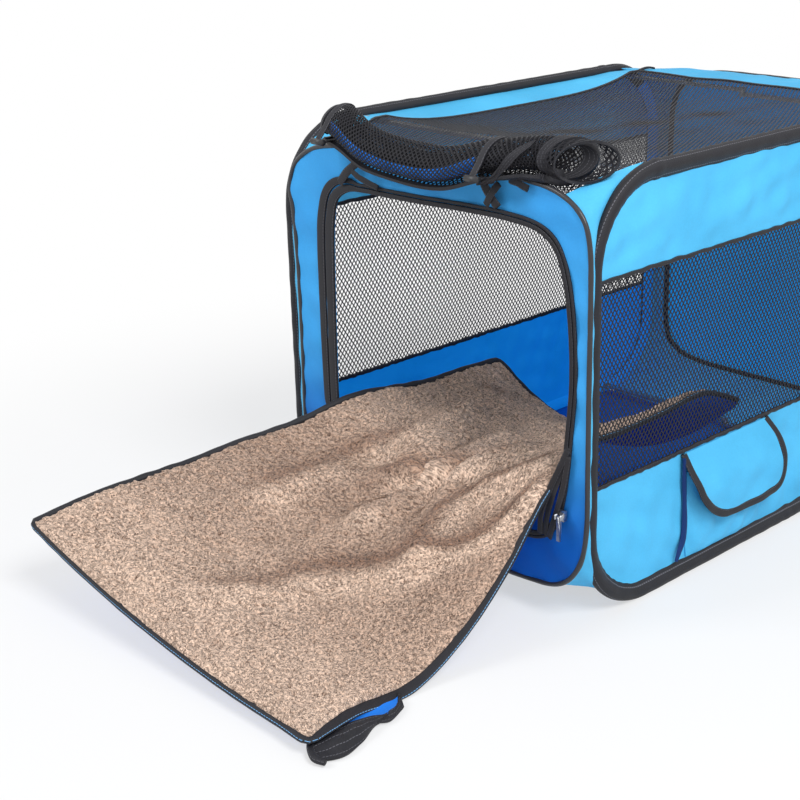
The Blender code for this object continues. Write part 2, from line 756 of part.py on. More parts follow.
def catmull(table, share):
    """A smooth curve through the table's rows, at a share of its length from 0 to 1."""
    spans = len(table) - 1
    at = min(max(share, 0.0), 1.0) * spans
    k = min(int(at), spans - 1)
    t = at - k
    rows = [table[min(max(k + step, 0), spans)] for step in (-1, 0, 1, 2)]
    found = []
    for a, b, c, d in zip(*rows):
        found.append(b + 0.5 * t * (c - a + t * (2 * a - 5 * b + 4 * c - d + t * (3 * (b - c) + d - a))))
    return found


def roll_station(share):
    """Centre, both radii, droop and slant of the rolled flap at a share of its length."""
    along, forward, above, long_share, short_share, droop, slant = catmull(ROLL_SHARES, share)
    front = FRONT_Y - forward * ROLL_LONG
    centre = Vector((FACE_CENTRE_X + along * FACE_HALF_WIDTH, front, FACE_TOP + above * ROLL_LONG))
    return centre, long_share * ROLL_LONG, short_share * ROLL_SHORT, droop * math.pi / 2, slant


def roll_point(station, radius, angle):
    """A point of the roll's section: its long axis droops forwards and down by the station's angle."""
    centre, long_radius, short_radius, droop, slant = station
    a, b = radius * long_radius * math.cos(angle), radius * short_radius * math.sin(angle)
    forward = a * math.cos(droop) + b * math.sin(droop)
    up = b * math.cos(droop) - a * math.sin(droop)
    return centre + Vector((-slant * forward, -forward, up))


def door_roll():
    """The mesh door flap rolled up along the top front edge: a spiral section that sags in the middle."""
    steps = round(ROLL_TURNS * ROLL_STEPS_PER_TURN)
    section = []
    for edge, order in ((0.0, 1), (-ROLL_CLOTH_SHARE, -1)):
        for k in range(steps + 1)[::order]:
            radius = ROLL_INNER_SHARE + (1 - ROLL_INNER_SHARE) * k / steps + edge
            section.append((radius, 2 * math.pi * ROLL_TURNS * k / steps))
    points = []
    for n in range(ROLL_STATIONS + 1):
        station = roll_station(n / ROLL_STATIONS)
        points += [roll_point(station, radius, angle) for radius, angle in section]
    count = len(section)
    faces = []
    for row in range(ROLL_STATIONS):
        low, high = row * count, (row + 1) * count
        for k in range(count):
            after = (k + 1) % count
            faces.append((low + k, low + after, high + after, high + k))
    for row in (0, ROLL_STATIONS):
        for k in range(steps):
            a, b = row * count + k, row * count + count - 1 - k
            faces.append((a, a + 1, b - 1, b))
    obj = piece("door_roll", points, faces, BLACK_NET)
    gap = min(
        (section[k + ROLL_STEPS_PER_TURN][0] - section[k][0] - ROLL_CLOTH_SHARE) * ROLL_SHORT / 2
        for k in range(steps + 1 - ROLL_STEPS_PER_TURN)
    )
    print(f"door roll: least gap between turns {1000 * gap:.2f} mm")
    return obj


def roll_ties():
    """A webbing loop round the roll at each side of the door, and the toggle that closes it."""
    for name, sign in (("left", -1), ("right", 1)):
        share = roll_share(sign * TIE_X)
        station = roll_station(share)
        grown = (
            station[0],
            station[1] + TIE_CLEARANCE + TIE_THICKNESS / 2,
            station[2] + TIE_CLEARANCE + TIE_THICKNESS / 2,
            station[3],
            station[4],
        )
        stations = []
        for k in range(TIE_STEPS):
            point = roll_point(grown, 1.0, 2 * math.pi * k / TIE_STEPS)
            after = roll_point(grown, 1.0, 2 * math.pi * (k + 1) / TIE_STEPS)
            before = roll_point(grown, 1.0, 2 * math.pi * (k - 1) / TIE_STEPS)
            side = Vector((1, 0, 0))
            out = side.cross(after - before).normalized()
            if out.dot(point - station[0]) < 0:
                out.negate()
            stations.append((point, out, side))
        a, b = TIE_THICKNESS / 2, TIE_WIDTH / 2
        points, faces = swept(stations, [(-a, -b), (a, -b), (a, b), (-a, b)], True)
        piece(f"roll_tie_{name}", points, faces, BLACK_BINDING, smooth=False)
        lowest = min((s[0] for s in stations), key=lambda p: p.z + p.y)
        toggle = lowest + Vector((0, -1, 0)) * (TIE_THICKNESS / 2 + TOGGLE_RADIUS + GAP)
        half = Vector((TOGGLE_LENGTH / 2, 0, 0))
        ends = [(toggle + half * s, Vector((0, 1, 0)), Vector((0, 0, 1))) for s in (-1, 1)]
        points, faces = swept(ends, ring_section(TUBE_SIDES, TOGGLE_RADIUS), False)
        piece(f"roll_toggle_{name}", points, faces, BLACK_PLASTIC)


def roll_share(x):
    """The share of the roll's length at which its centre reaches a place across the crate."""
    low, high = 0.0, 1.0
    for _ in range(ROLL_SEARCH_STEPS):
        middle = (low + high) / 2
        if roll_station(middle)[0].x < x:
            low = middle
        else:
            high = middle
    return low


def pocket():
    """A shallow fabric bag on the right side's lower band, open at the top."""
    back_x = RING_CENTRE_X + PANEL_THICKNESS / 2 + GAP

    def rim(level, inset):
        depth = POCKET_DEPTH * (POCKET_BOTTOM_SHARE + (1 - POCKET_BOTTOM_SHARE) * level)
        found = []
        for k in range(POCKET_STEPS + 1):
            share = k / POCKET_STEPS
            bulge = max(0.0, math.sin(math.pi * share)) ** POCKET_FULLNESS
            y = POCKET_CENTRE_Y + (POCKET_HALF_WIDTH - inset) * (2 * share - 1)
            found.append((back_x + POCKET_EDGE + (depth - POCKET_EDGE) * bulge - inset, y))
        found += [(back_x + inset, found[-1][1]), (back_x + inset, found[0][1])]
        return found

    rows = []
    for k in range(POCKET_ROWS + 1):
        z = POCKET_BOTTOM + (POCKET_TOP - POCKET_BOTTOM) * k / POCKET_ROWS
        rows.append([Vector((x, y, z)) for x, y in rim(k / POCKET_ROWS, 0.0)])
    for k in range(POCKET_ROWS + 1)[::-1]:
        low = POCKET_BOTTOM + POCKET_WALL
        z = low + (POCKET_TOP - low) * k / POCKET_ROWS
        rows.append([Vector((x, y, z)) for x, y in rim(k / POCKET_ROWS, POCKET_WALL)])
    count = len(rows[0])
    points = [p for row in rows for p in row]
    faces = [tuple(range(count)), tuple(range(len(points) - count, len(points)))]
    for row in range(len(rows) - 1):
        low, high = row * count, (row + 1) * count
        for k in range(count):
            after = (k + 1) % count
            faces.append((low + k, low + after, high + after, high + k))
    piece("pocket_body", points, faces, BLUE_FABRIC)
    top = POCKET_TOP - PATCH_HEIGHT / 2
    x = back_x + POCKET_DEPTH + GAP
    box(
        "pocket_patch", (x, POCKET_CENTRE_Y - PATCH_HALF_WIDTH, top - PATCH_HEIGHT),
        (x + PATCH_THICKNESS, POCKET_CENTRE_Y + PATCH_HALF_WIDTH, top), BLACK_PLASTIC,
    )


def pocket_flap():
    """A D-shaped flap from the seam under the window, flared out over the pocket's mouth."""
    start_x = RING_CENTRE_X + PANEL_THICKNESS / 2 + GAP + FLAP_THICKNESS / 2
    straight = FLAP_STRAIGHT_SHARE * FLAP_LENGTH
    rows = []
    for j in range(FLAP_ROWS + 1):
        share = math.sin(math.pi / 2 * j / FLAP_ROWS)
        down = share * FLAP_LENGTH
        past = max(0.0, down - straight) / (FLAP_LENGTH - straight) * FLAP_END_SHARE
        half = FLAP_HALF_WIDTH * (1 - past**FLAP_ROUNDING) ** (1 / FLAP_ROUNDING)
        flare = FLAP_FLARE * math.sin(math.pi / 2 * min(1.0, down / straight))
        for i in range(FLAP_COLUMNS + 1):
            y = POCKET_CENTRE_Y + half * (2 * i / FLAP_COLUMNS - 1)
            rows.append(Vector((start_x + flare, y, FLAP_TOP - down)))
    points = [p + Vector((end * FLAP_THICKNESS / 2, 0, 0)) for end in (-1, 1) for p in rows]
    points, faces = closed_sheet(points, FLAP_COLUMNS + 1, FLAP_ROWS + 1)
    piece("pocket_flap", points, faces, BLUE_FABRIC, (start_x, POCKET_CENTRE_Y, FLAP_TOP))


def closed_sheet(points, columns, rows):
    """Faces for two layers of a grid, joined round their edge."""
    count = columns * rows
    faces = []
    for layer in (0, count):
        for j in range(rows - 1):
            for i in range(columns - 1):
                low = layer + j * columns + i
                faces.append((low, low + 1, low + columns + 1, low + columns))
    rim = list(range(columns)) + [j * columns + columns - 1 for j in range(1, rows)]
    rim += [(rows - 1) * columns + i for i in range(columns - 1)[::-1]]
    rim += [j * columns for j in range(1, rows - 1)[::-1]]
    for k, a in enumerate(rim):
        b = rim[(k + 1) % len(rim)]
        faces.append((a, b, count + b, count + a))
    return points, faces


def mat_surface(across, along):
    """The mat's underside at a share across it, -1 left to 1 right, and a share along it."""
    left, right = catmull(MAT_LEFT_SHARES, along), catmull(MAT_RIGHT_SHARES, along)
    (sag,) = catmull([(value,) for value in MAT_MIDDLE_SAG_SHARES], along)
    u = (across + 1) / 2
    x = (left[0] + (right[0] - left[0]) * u) * WIDTH
    y = (left[1] + (right[1] - left[1]) * u) * LENGTH
    z = (left[2] + (right[2] - left[2]) * u) * HEIGHT
    bend = 1 - across**2
    spread = math.atan2(across / 2, MAT_FAN_SHARE + abs(along - MAT_DOOR_SHARE))
    wave = math.cos(MAT_FOLDS * spread) * bend * math.exp(-(((along - MAT_DOOR_SHARE) / MAT_FOLD_SHARE) ** 2))
    return Vector((x, y, z - sag * HEIGHT * bend + MAT_WAVE * wave))


def mat_normal(across, along):
    du = mat_surface(across + SHARE_STEP, along) - mat_surface(across - SHARE_STEP, along)
    low, high = max(along - SHARE_STEP, 0.0), min(along + SHARE_STEP, 1.0)
    return du.cross(mat_surface(across, high) - mat_surface(across, low)).normalized()


def mat_lift():
    """How far the mat rises, so that it lies on the door's sill without sinking into it."""
    lifts = []
    middle = (DOOR_LEFT + DOOR_RIGHT) / 2
    straight = (DOOR_RIGHT - DOOR_LEFT) / 2 - DOOR_CORNER
    back = FRONT_Y + PANEL_THICKNESS
    front = FRONT_Y - PANEL_THICKNESS - ZIP_TAPE_THICKNESS - GAP
    for j in range(MAT_LIFT_SAMPLES + 1):
        for i in range(MAT_LIFT_SAMPLES + 1):
            point = mat_surface(2 * i / MAT_LIFT_SAMPLES - 1, j / MAT_LIFT_SAMPLES)
            if front < point.y < back:
                past = min(DOOR_CORNER, max(0.0, abs(point.x - middle) - straight))
                sill = DOOR_BOTTOM + DOOR_CORNER - math.sqrt(DOOR_CORNER**2 - past**2)
                lifts.append(sill - point.z)
    return max(lifts) + MAT_SEAT_GAP


def mat_scales(along):
    """The mat's real size over its flat size, across it and along it, at a share of its length."""
    across = (mat_surface(1.0, along) - mat_surface(-1.0, along)).length / MAT_WIDTH
    low, high = max(along - SHARE_STEP, 0.0), min(along + SHARE_STEP, 1.0)
    length = (mat_surface(0.0, high) - mat_surface(0.0, low)).length
    return across, length / (high - low) / MAT_LENGTH


def mat_rows(inset):
    """Rows (half width, place along) of the mat's rounded outline, drawn in by a real distance."""
    quarter = [math.pi / 2 * k / MAT_CORNER_STEPS for k in range(MAT_CORNER_STEPS + 1)]
    rows = []
    for end in (0, 1):
        _, long_scale = mat_scales(end)
        tip = inset / long_scale / MAT_LENGTH
        radius = (MAT_CORNER - inset) / long_scale / MAT_LENGTH
        found = []
        for angle in quarter:
            along = tip + radius * (1 - math.cos(angle))
            along = 1 - along if end else along
            wide_scale, _ = mat_scales(along)
            cut = (inset + (MAT_CORNER - inset) * (1 - math.sin(angle))) / wide_scale
            found.append((1 - cut / (MAT_WIDTH / 2), along))
        rows += found[::-1] if end else found
    low, high = rows[MAT_CORNER_STEPS][1], rows[MAT_CORNER_STEPS + 1][1]
    middle = []
    for k in range(1, MAT_MIDDLE_ROWS):
        along = low + (high - low) * k / MAT_MIDDLE_ROWS
        middle.append((1 - inset / mat_scales(along)[0] / (MAT_WIDTH / 2), along))
    return rows[: MAT_CORNER_STEPS + 1] + middle + rows[MAT_CORNER_STEPS + 1 :]


def mat_layer(name, low, high, crown, material):
    """One layer of the mat, between two heights over its underside, inside the edge binding."""
    rows = mat_rows(MAT_BINDING_WIDTH + GAP)
    layers = [[], []]
    for half, along in rows:
        for i in range(MAT_COLUMNS + 1):
            u = 2 * i / MAT_COLUMNS - 1
            base, normal = mat_surface(half * u, along) + MAT_RISE, mat_normal(half * u, along)
            full = crown * (1 - u**MAT_CROWN_ACROSS_POWER) * (1 - (2 * along - 1) ** MAT_CROWN_ALONG_POWER)
            layers[0].append(base + normal * low)
            layers[1].append(base + normal * (high + full))
    points, faces = closed_sheet(layers[0] + layers[1], MAT_COLUMNS + 1, len(rows))
    piece(name, points, faces, material)


def mat_binding():
    """The edge tape: a rounded strip carried round the mat's edge."""
    rows = mat_rows(MAT_BINDING_WIDTH / 2)
    path = [(half, along) for half, along in rows]
    for sign, row in ((1, rows[-1]), (-1, rows[0])):
        across = [
            (sign * row[0] * (1 - 2 * i / MAT_COLUMNS), row[1]) for i in range(1, MAT_COLUMNS)
        ]
        path += across
        if sign > 0:
            path += [(-half, along) for half, along in rows[::-1]]
    flat = [(mat_surface(u, v) + MAT_RISE, mat_normal(u, v)) for u, v in path]
    stations = []
    for k, (point, normal) in enumerate(flat):
        after, before = flat[(k + 1) % len(flat)][0], flat[k - 1][0]
        tangent = (after - point).normalized() + (point - before).normalized()
        out = tangent.cross(normal).normalized()
        stations.append((point, out, normal))
    a, c = MAT_BINDING_WIDTH / 2, MAT_BINDING_CHAMFER
    low, high = 0.0, MAT_BINDING_HEIGHT
    section = [(-a, low), (a - c, low), (a, low + c), (a, high - c), (a - c, high), (-a, high)]
    points, faces = swept(stations, section, True)
    piece("mat_binding", points, faces, BLACK_BINDING)


def mat_flap():
    """The mat's loose blue underside cover, turned under at the outer right corner."""
    layers = [[], []]
    steps = MAT_FLAP_STEPS
    for j in range(steps + 1):
        along = (MAT_FLAP_START + (MAT_FLAP_LENGTH - MAT_FLAP_START) * j / steps) / MAT_LENGTH
        edge, inside = mat_surface(1.0, along) + MAT_RISE, mat_surface(0.0, along) + MAT_RISE
        outward = Vector((edge.x - inside.x, edge.y - inside.y, 0)).normalized()
        width = MAT_FLAP_WIDTH * math.sin(math.pi * (j + 1) / (steps + 2)) ** 0.5
        top = edge.z - MAT_FLAP_THICKNESS + MAT_FLAP_TUCK
        for i in range(steps + 1):
            share = i / steps
            fall = max(0.0, top - MAT_FLAP_FLOOR) * (1 - math.cos(math.pi * share)) / 2
            point = edge + outward * (width * share - MAT_BINDING_WIDTH)
            point.z = max(MAT_FLAP_FLOOR, top - fall)
            layers[0].append(Vector(point))
            layers[1].append(point + Vector((0, 0, MAT_FLAP_THICKNESS)))
    points, faces = closed_sheet(layers[0] + layers[1], steps + 1, steps + 1)
    piece("mat_flap", points, faces, BLUE_FABRIC)


def joint_empty(name, place, children):
    """An empty on a joint's axis that carries the pieces that move with it."""
    empty = bpy.data.objects.new(name, None)
    empty.location = place
    bpy.context.scene.collection.objects.link(empty)
    for child in children:
        obj = bpy.data.objects[child]
        obj.parent = empty
        obj.location -= empty.location


clear_scene()
HELPER = material_of("helper", BLACK, 0.5)
STEEL_TUBE = material_of("steel_tube", STEEL, 0.35, 1.0)
STEEL_PLATE = material_of("steel_plate", STEEL, 0.4, 1.0)
SILVER_METAL = material_of("zip_metal", SILVER, 0.25, 1.0)
BLACK_BINDING = material_of("black_binding", BLACK, 0.5)
BLACK_PIPING = material_of("black_piping", BLACK, 0.3)
BLACK_NET = material_of("black_net", BLACK, 0.6)
BLACK_PLASTIC = material_of("black_plastic", BLACK, 0.4)
BLUE_FABRIC = material_of("blue_fabric", BLUE, 0.6)
PALE_FABRIC = material_of("pale_blue_fabric", PALE_BLUE, 0.6)
FLEECE_PILE = material_of("fleece_pile", FLEECE, 0.95)
for side_prefix, side_sign in (("left", -1), ("right", 1)):
    frame_tube(side_prefix + "_frame_tube", side_sign)
    edge_binding(side_prefix + "_edge_binding", side_sign)
    side_panels(side_prefix, side_sign)
cross_bars()
floor_and_roof()
front_and_rear()
zip_parts()
door_roll()
roll_ties()
pocket()
pocket_flap()
MAT_RISE = Vector((0, 0, mat_lift()))
print(f"mat: raised {1000 * MAT_RISE.z:.1f} mm to lie on the door's sill")
mat_layer("mat_base", 0.0, MAT_BASE, 0.0, BLUE_FABRIC)
mat_layer("mat_fleece", MAT_BASE + GAP, MAT_BASE + GAP + MAT_FLEECE - MAT_CROWN, MAT_CROWN, FLEECE_PILE)
mat_binding()
mat_flap()
joint_empty("right_side_pivot", (PIVOT_X, -BAR_Y, tab_level(1)), (
    "right_frame_tube", "right_edge_binding", "right_upper_band", "right_lower_band", "right_window_mesh",
    "clip_bottom_front_right", "clip_top_front_right", "clip_bottom_rear_right", "clip_top_rear_right",
    "pocket_body", "pocket_patch",
))
joint_empty("mat_slide", ((DOOR_LEFT + DOOR_RIGHT) / 2, FRONT_Y, DOOR_BOTTOM), (
    "mat_base", "mat_fleece", "mat_binding", "mat_flap",
))
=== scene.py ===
import json
import math

import bmesh
import bpy
import numpy as np
from mathutils import Matrix, Vector
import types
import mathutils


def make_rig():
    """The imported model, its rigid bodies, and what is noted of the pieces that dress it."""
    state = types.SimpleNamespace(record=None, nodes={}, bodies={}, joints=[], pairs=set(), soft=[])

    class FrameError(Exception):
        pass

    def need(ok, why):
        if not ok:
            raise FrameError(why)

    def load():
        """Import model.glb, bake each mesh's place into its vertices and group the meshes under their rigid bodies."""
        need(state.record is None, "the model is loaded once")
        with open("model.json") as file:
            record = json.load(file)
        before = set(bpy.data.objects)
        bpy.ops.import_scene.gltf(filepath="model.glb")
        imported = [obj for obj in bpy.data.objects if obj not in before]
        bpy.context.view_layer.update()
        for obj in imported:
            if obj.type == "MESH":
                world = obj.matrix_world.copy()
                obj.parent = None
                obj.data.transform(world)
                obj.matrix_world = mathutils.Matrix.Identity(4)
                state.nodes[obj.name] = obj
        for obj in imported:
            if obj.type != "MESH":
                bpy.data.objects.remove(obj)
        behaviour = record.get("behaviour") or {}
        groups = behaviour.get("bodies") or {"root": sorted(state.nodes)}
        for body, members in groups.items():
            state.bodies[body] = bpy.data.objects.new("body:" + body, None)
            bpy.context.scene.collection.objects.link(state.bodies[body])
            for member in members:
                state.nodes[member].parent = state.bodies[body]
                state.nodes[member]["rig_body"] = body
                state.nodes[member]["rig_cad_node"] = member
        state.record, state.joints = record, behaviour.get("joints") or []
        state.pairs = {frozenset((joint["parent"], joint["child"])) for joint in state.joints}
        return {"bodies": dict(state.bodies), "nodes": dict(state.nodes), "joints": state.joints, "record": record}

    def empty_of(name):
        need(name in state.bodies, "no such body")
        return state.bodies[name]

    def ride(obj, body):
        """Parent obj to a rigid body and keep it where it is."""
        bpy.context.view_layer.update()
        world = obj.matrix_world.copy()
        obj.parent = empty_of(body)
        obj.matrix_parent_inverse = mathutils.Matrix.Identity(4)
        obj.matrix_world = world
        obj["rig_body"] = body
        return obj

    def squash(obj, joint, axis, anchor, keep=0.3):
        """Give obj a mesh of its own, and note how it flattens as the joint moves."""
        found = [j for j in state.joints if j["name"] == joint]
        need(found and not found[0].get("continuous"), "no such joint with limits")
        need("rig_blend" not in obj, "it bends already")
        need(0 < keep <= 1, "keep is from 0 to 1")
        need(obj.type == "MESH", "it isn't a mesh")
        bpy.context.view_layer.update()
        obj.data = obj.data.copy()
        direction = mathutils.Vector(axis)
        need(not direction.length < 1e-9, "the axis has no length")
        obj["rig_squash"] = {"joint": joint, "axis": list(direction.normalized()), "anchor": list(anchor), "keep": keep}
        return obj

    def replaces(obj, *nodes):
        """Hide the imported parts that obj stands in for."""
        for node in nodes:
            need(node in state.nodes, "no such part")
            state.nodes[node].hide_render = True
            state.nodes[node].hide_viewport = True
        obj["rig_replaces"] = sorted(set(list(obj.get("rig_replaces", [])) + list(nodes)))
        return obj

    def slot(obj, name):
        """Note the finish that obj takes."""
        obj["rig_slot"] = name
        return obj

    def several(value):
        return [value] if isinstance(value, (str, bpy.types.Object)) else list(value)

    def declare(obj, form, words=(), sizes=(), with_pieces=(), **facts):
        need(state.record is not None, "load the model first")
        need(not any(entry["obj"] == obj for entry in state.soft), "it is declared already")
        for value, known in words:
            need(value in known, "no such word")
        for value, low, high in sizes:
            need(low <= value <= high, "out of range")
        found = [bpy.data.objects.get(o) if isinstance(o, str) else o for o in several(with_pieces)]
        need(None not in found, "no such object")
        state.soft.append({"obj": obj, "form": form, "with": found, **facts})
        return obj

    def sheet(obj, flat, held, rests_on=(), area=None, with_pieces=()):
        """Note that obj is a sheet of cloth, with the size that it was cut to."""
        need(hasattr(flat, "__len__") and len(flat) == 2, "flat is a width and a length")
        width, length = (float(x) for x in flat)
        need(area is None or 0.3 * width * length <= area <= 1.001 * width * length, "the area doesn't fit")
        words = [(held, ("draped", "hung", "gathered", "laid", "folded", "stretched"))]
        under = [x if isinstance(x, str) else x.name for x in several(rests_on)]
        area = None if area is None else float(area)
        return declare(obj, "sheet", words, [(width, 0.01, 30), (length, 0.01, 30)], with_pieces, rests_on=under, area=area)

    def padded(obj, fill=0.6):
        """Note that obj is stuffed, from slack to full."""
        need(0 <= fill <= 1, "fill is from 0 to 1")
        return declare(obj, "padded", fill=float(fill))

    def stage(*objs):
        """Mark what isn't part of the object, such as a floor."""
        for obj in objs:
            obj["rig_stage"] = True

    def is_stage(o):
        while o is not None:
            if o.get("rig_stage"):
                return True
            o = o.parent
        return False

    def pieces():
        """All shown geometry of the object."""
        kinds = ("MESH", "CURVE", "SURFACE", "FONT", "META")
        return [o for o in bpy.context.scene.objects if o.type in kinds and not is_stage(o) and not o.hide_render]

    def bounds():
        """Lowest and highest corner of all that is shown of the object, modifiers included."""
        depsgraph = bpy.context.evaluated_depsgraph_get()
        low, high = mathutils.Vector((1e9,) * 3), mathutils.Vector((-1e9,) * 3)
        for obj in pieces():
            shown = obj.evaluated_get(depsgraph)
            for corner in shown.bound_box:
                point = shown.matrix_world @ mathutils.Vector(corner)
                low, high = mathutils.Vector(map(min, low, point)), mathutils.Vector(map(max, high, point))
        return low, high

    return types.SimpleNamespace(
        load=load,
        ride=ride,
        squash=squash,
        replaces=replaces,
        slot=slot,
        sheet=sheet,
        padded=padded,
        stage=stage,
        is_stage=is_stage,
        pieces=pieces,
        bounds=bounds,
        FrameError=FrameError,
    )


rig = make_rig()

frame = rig.load()
cad_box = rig.bounds()

# ---- Camera ----
# The crate is seen from its front right corner, from a little above the roof.
# The picture is cut off on the right, so the lens is shifted a little to that side.
CAMERA_PLACE = Vector((1.2946, -1.6324, 0.8711))
CAMERA_TURN, CAMERA_TILT, CAMERA_ROLL = math.radians(44.74), math.radians(21.41), math.radians(-0.74)
PICTURE_SIZE = 800
FOCAL_PIXELS = 1562.8
AXIS_PIXEL = (460.0, 440.5)
SENSOR = 36.0


def placed(name, data):
    """A new object in the scene."""
    obj = bpy.data.objects.new(name, data)
    bpy.context.scene.collection.objects.link(obj)
    return obj


back = Vector((
    math.sin(CAMERA_TURN) * math.cos(CAMERA_TILT),
    -math.cos(CAMERA_TURN) * math.cos(CAMERA_TILT),
    math.sin(CAMERA_TILT),
))
right = Vector((0, 0, 1)).cross(back).normalized()
up = back.cross(right)
turned_right = right * math.cos(CAMERA_ROLL) + up * math.sin(CAMERA_ROLL)
turned_up = up * math.cos(CAMERA_ROLL) - right * math.sin(CAMERA_ROLL)
camera_data = bpy.data.cameras.new("camera")
camera_data.sensor_width = SENSOR
camera_data.lens = FOCAL_PIXELS / PICTURE_SIZE * SENSOR
camera_data.shift_x = (PICTURE_SIZE / 2 - AXIS_PIXEL[0]) / PICTURE_SIZE
camera_data.shift_y = (AXIS_PIXEL[1] - PICTURE_SIZE / 2) / PICTURE_SIZE
camera = placed("camera", camera_data)
axes = Matrix((turned_right, turned_up, back)).transposed().to_4x4()
camera.matrix_world = Matrix.Translation(CAMERA_PLACE) @ axes
bpy.context.scene.camera = camera
bpy.context.scene.view_settings.view_transform = "Standard"


# ---- Studio: floor, world and lamps ----
# A white sweep of paper under large soft lamps. The main lamp stands to the right,
# so the crate's right side and its roof are paler than its front.
class Socket:
    """A shader socket. + - * / add Math nodes, and node() adds any other node to its tree."""

    def __init__(self, tree, out=None):
        self.tree, self.out = tree, out

    def node(self, kind, out=0, inputs=None, **settings):
        made = self.tree.nodes.new("ShaderNode" + kind)
        for key, value in settings.items():
            setattr(made, key, value)
        for key, value in (inputs or {}).items():
            if isinstance(value, Socket):
                self.tree.links.new(value.out, made.inputs[key])
            else:
                made.inputs[key].default_value = value
        return Socket(self.tree, made.outputs[out])

    def parts(self):
        """A vector's x, y and z."""
        apart = self.node("SeparateXYZ", inputs={0: self}).out.node
        return [Socket(self.tree, out) for out in apart.outputs]

    def noise(self, scale, detail=2.0, **inputs):
        """A noise of about 0.5, at the socket Vector where one is given."""
        return self.node("TexNoise", "Fac", {"Scale": scale, "Detail": detail, **inputs})

    def maths(self, operation, a, b=0.0):
        return self.node("Math", 0, {0: a, 1: b}, operation=operation)

    def limited(self):
        """The value, held between 0 and 1."""
        return self.maths("MINIMUM", self.maths("MAXIMUM", self, 0.0), 1.0)

    def smooth(self, low, high, start=0.0, end=1.0):
        """A smooth step from start to end while the value goes from low to high."""
        return self.node("MapRange", 0, {0: self, 1: low, 2: high, 3: start, 4: end},
                         interpolation_type="SMOOTHSTEP")

    def mix(self, share, a, b):
        """The colour a where share is 0 and b where it is 1."""
        a, b = (value if isinstance(value, Socket) else (*value, 1.0) for value in (a, b))
        return self.node("Mix", 2, {0: share, 6: a, 7: b}, data_type="RGBA")

    def to(self, shader, name):
        self.tree.links.new(self.out, shader.inputs[name])

    def bump(self, shader, strength, distance):
        """Uses the value as the relief of a shader."""
        relief = {"Strength": strength, "Distance": distance, "Height": self}
        self.node("Bump", "Normal", relief).to(shader, "Normal")

    def __add__(self, other):
        return self.maths("ADD", self, other)

    def __radd__(self, other):
        return self.maths("ADD", other, self)

    def __sub__(self, other):
        return self.maths("SUBTRACT", self, other)

    def __rsub__(self, other):
        return self.maths("SUBTRACT", other, self)

    def __mul__(self, other):
        return self.maths("MULTIPLY", self, other)

    def __truediv__(self, other):
        return self.maths("DIVIDE", self, other)


def material(name, roughness, specular=0.5, metallic=0.0, sheen=0.0, coat=0.0):
    """A new material, a Socket on its tree, and its shader with the finish that is the same all over."""
    made = bpy.data.materials.new(name)
    made.use_nodes = True
    shader = made.node_tree.nodes["Principled BSDF"]
    for key, value in (
        ("Roughness", roughness), ("Specular IOR Level", specular), ("Metallic", metallic),
        ("Sheen Weight", sheen), ("Coat Weight", coat), ("Coat Roughness", 0.25),
    ):
        shader.inputs[key].default_value = value
    return made, Socket(made.node_tree), shader


def seen_rays(tree):
    """1 for the rays that show the studio: the camera's, and those that metal and glass send on."""
    path = tree.node("LightPath").out.node
    camera_ray, glossy, passed = (Socket(tree.tree, path.outputs[name]) for name in (
        "Is Camera Ray", "Is Glossy Ray", "Is Transmission Ray"))
    return tree.maths("MINIMUM", camera_ray + glossy + passed, 1.0)


FLOOR_REACH = 12.0
FLOOR_COLOUR, FLOOR_PALE = (0.80, 0.81, 0.83), (0.84, 0.845, 0.86)
# The paper is lit white by itself further off than the second distance, and a little under the crate
WHITE_FROM, WHITE_TO, WHITE_NEAR, WHITE_MIDDLE = 0.62, 1.4, 0.58, (0.1, -0.3, 0.0)
AMBIENT = 0.46
# Each lamp's name, place, size and power, and the point that they all face
LAMPS = (("main_lamp", (2.6, -1.0, 3.1), 1.5, 112.0), ("front_lamp", (-1.6, -3.0, 2.6), 1.6, 52.0))
LIT_POINT = Vector((0, 0, 0.25))
floor_mesh = bpy.data.meshes.new("floor")
corners = [(x * FLOOR_REACH, y * FLOOR_REACH, 0) for x, y in ((-1, -1), (1, -1), (1, 1), (-1, 1))]
floor_mesh.from_pydata(corners, [], [(0, 1, 2, 3)])
floor = placed("floor", floor_mesh)
paper, paper_tree, paper_shader = material("paper", 0.9)
paper_tree.mix(paper_tree.noise(3.0), FLOOR_COLOUR, FLOOR_PALE).to(paper_shader, "Base Color")
spot = paper_tree.node("TexCoord", "Object")
distance = paper_tree.node("VectorMath", "Value", {0: spot, 1: WHITE_MIDDLE}, operation="DISTANCE")
white = distance.smooth(WHITE_FROM, WHITE_TO, WHITE_NEAR, 1.0) * seen_rays(paper_tree)
lit_paper = Socket(paper_tree.tree, paper_shader.outputs[0])
both = paper_tree.node("MixShader", inputs={0: white, 1: lit_paper, 2: paper_tree.node("Emission")})
both.to(paper_tree.tree.nodes["Material Output"], "Surface")
floor_mesh.materials.append(paper)
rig.stage(floor)

world = bpy.data.worlds.new("studio")
bpy.context.scene.world = world
world.use_nodes = True
background = world.node_tree.nodes["Background"]
background.inputs["Color"].default_value = (1.0, 1.0, 1.0, 1.0)
(AMBIENT + seen_rays(Socket(world.node_tree)) * (1.0 - AMBIENT)).to(background, "Strength")

for name, place, size, power in LAMPS:
    lamp_data = bpy.data.lights.new(name, "AREA")
    lamp_data.energy, lamp_data.size = power, size
    lamp = placed(name, lamp_data)
    lamp.location = place
    lamp.rotation_euler = (LIT_POINT - Vector(place)).to_track_quat("-Z", "Y").to_euler()


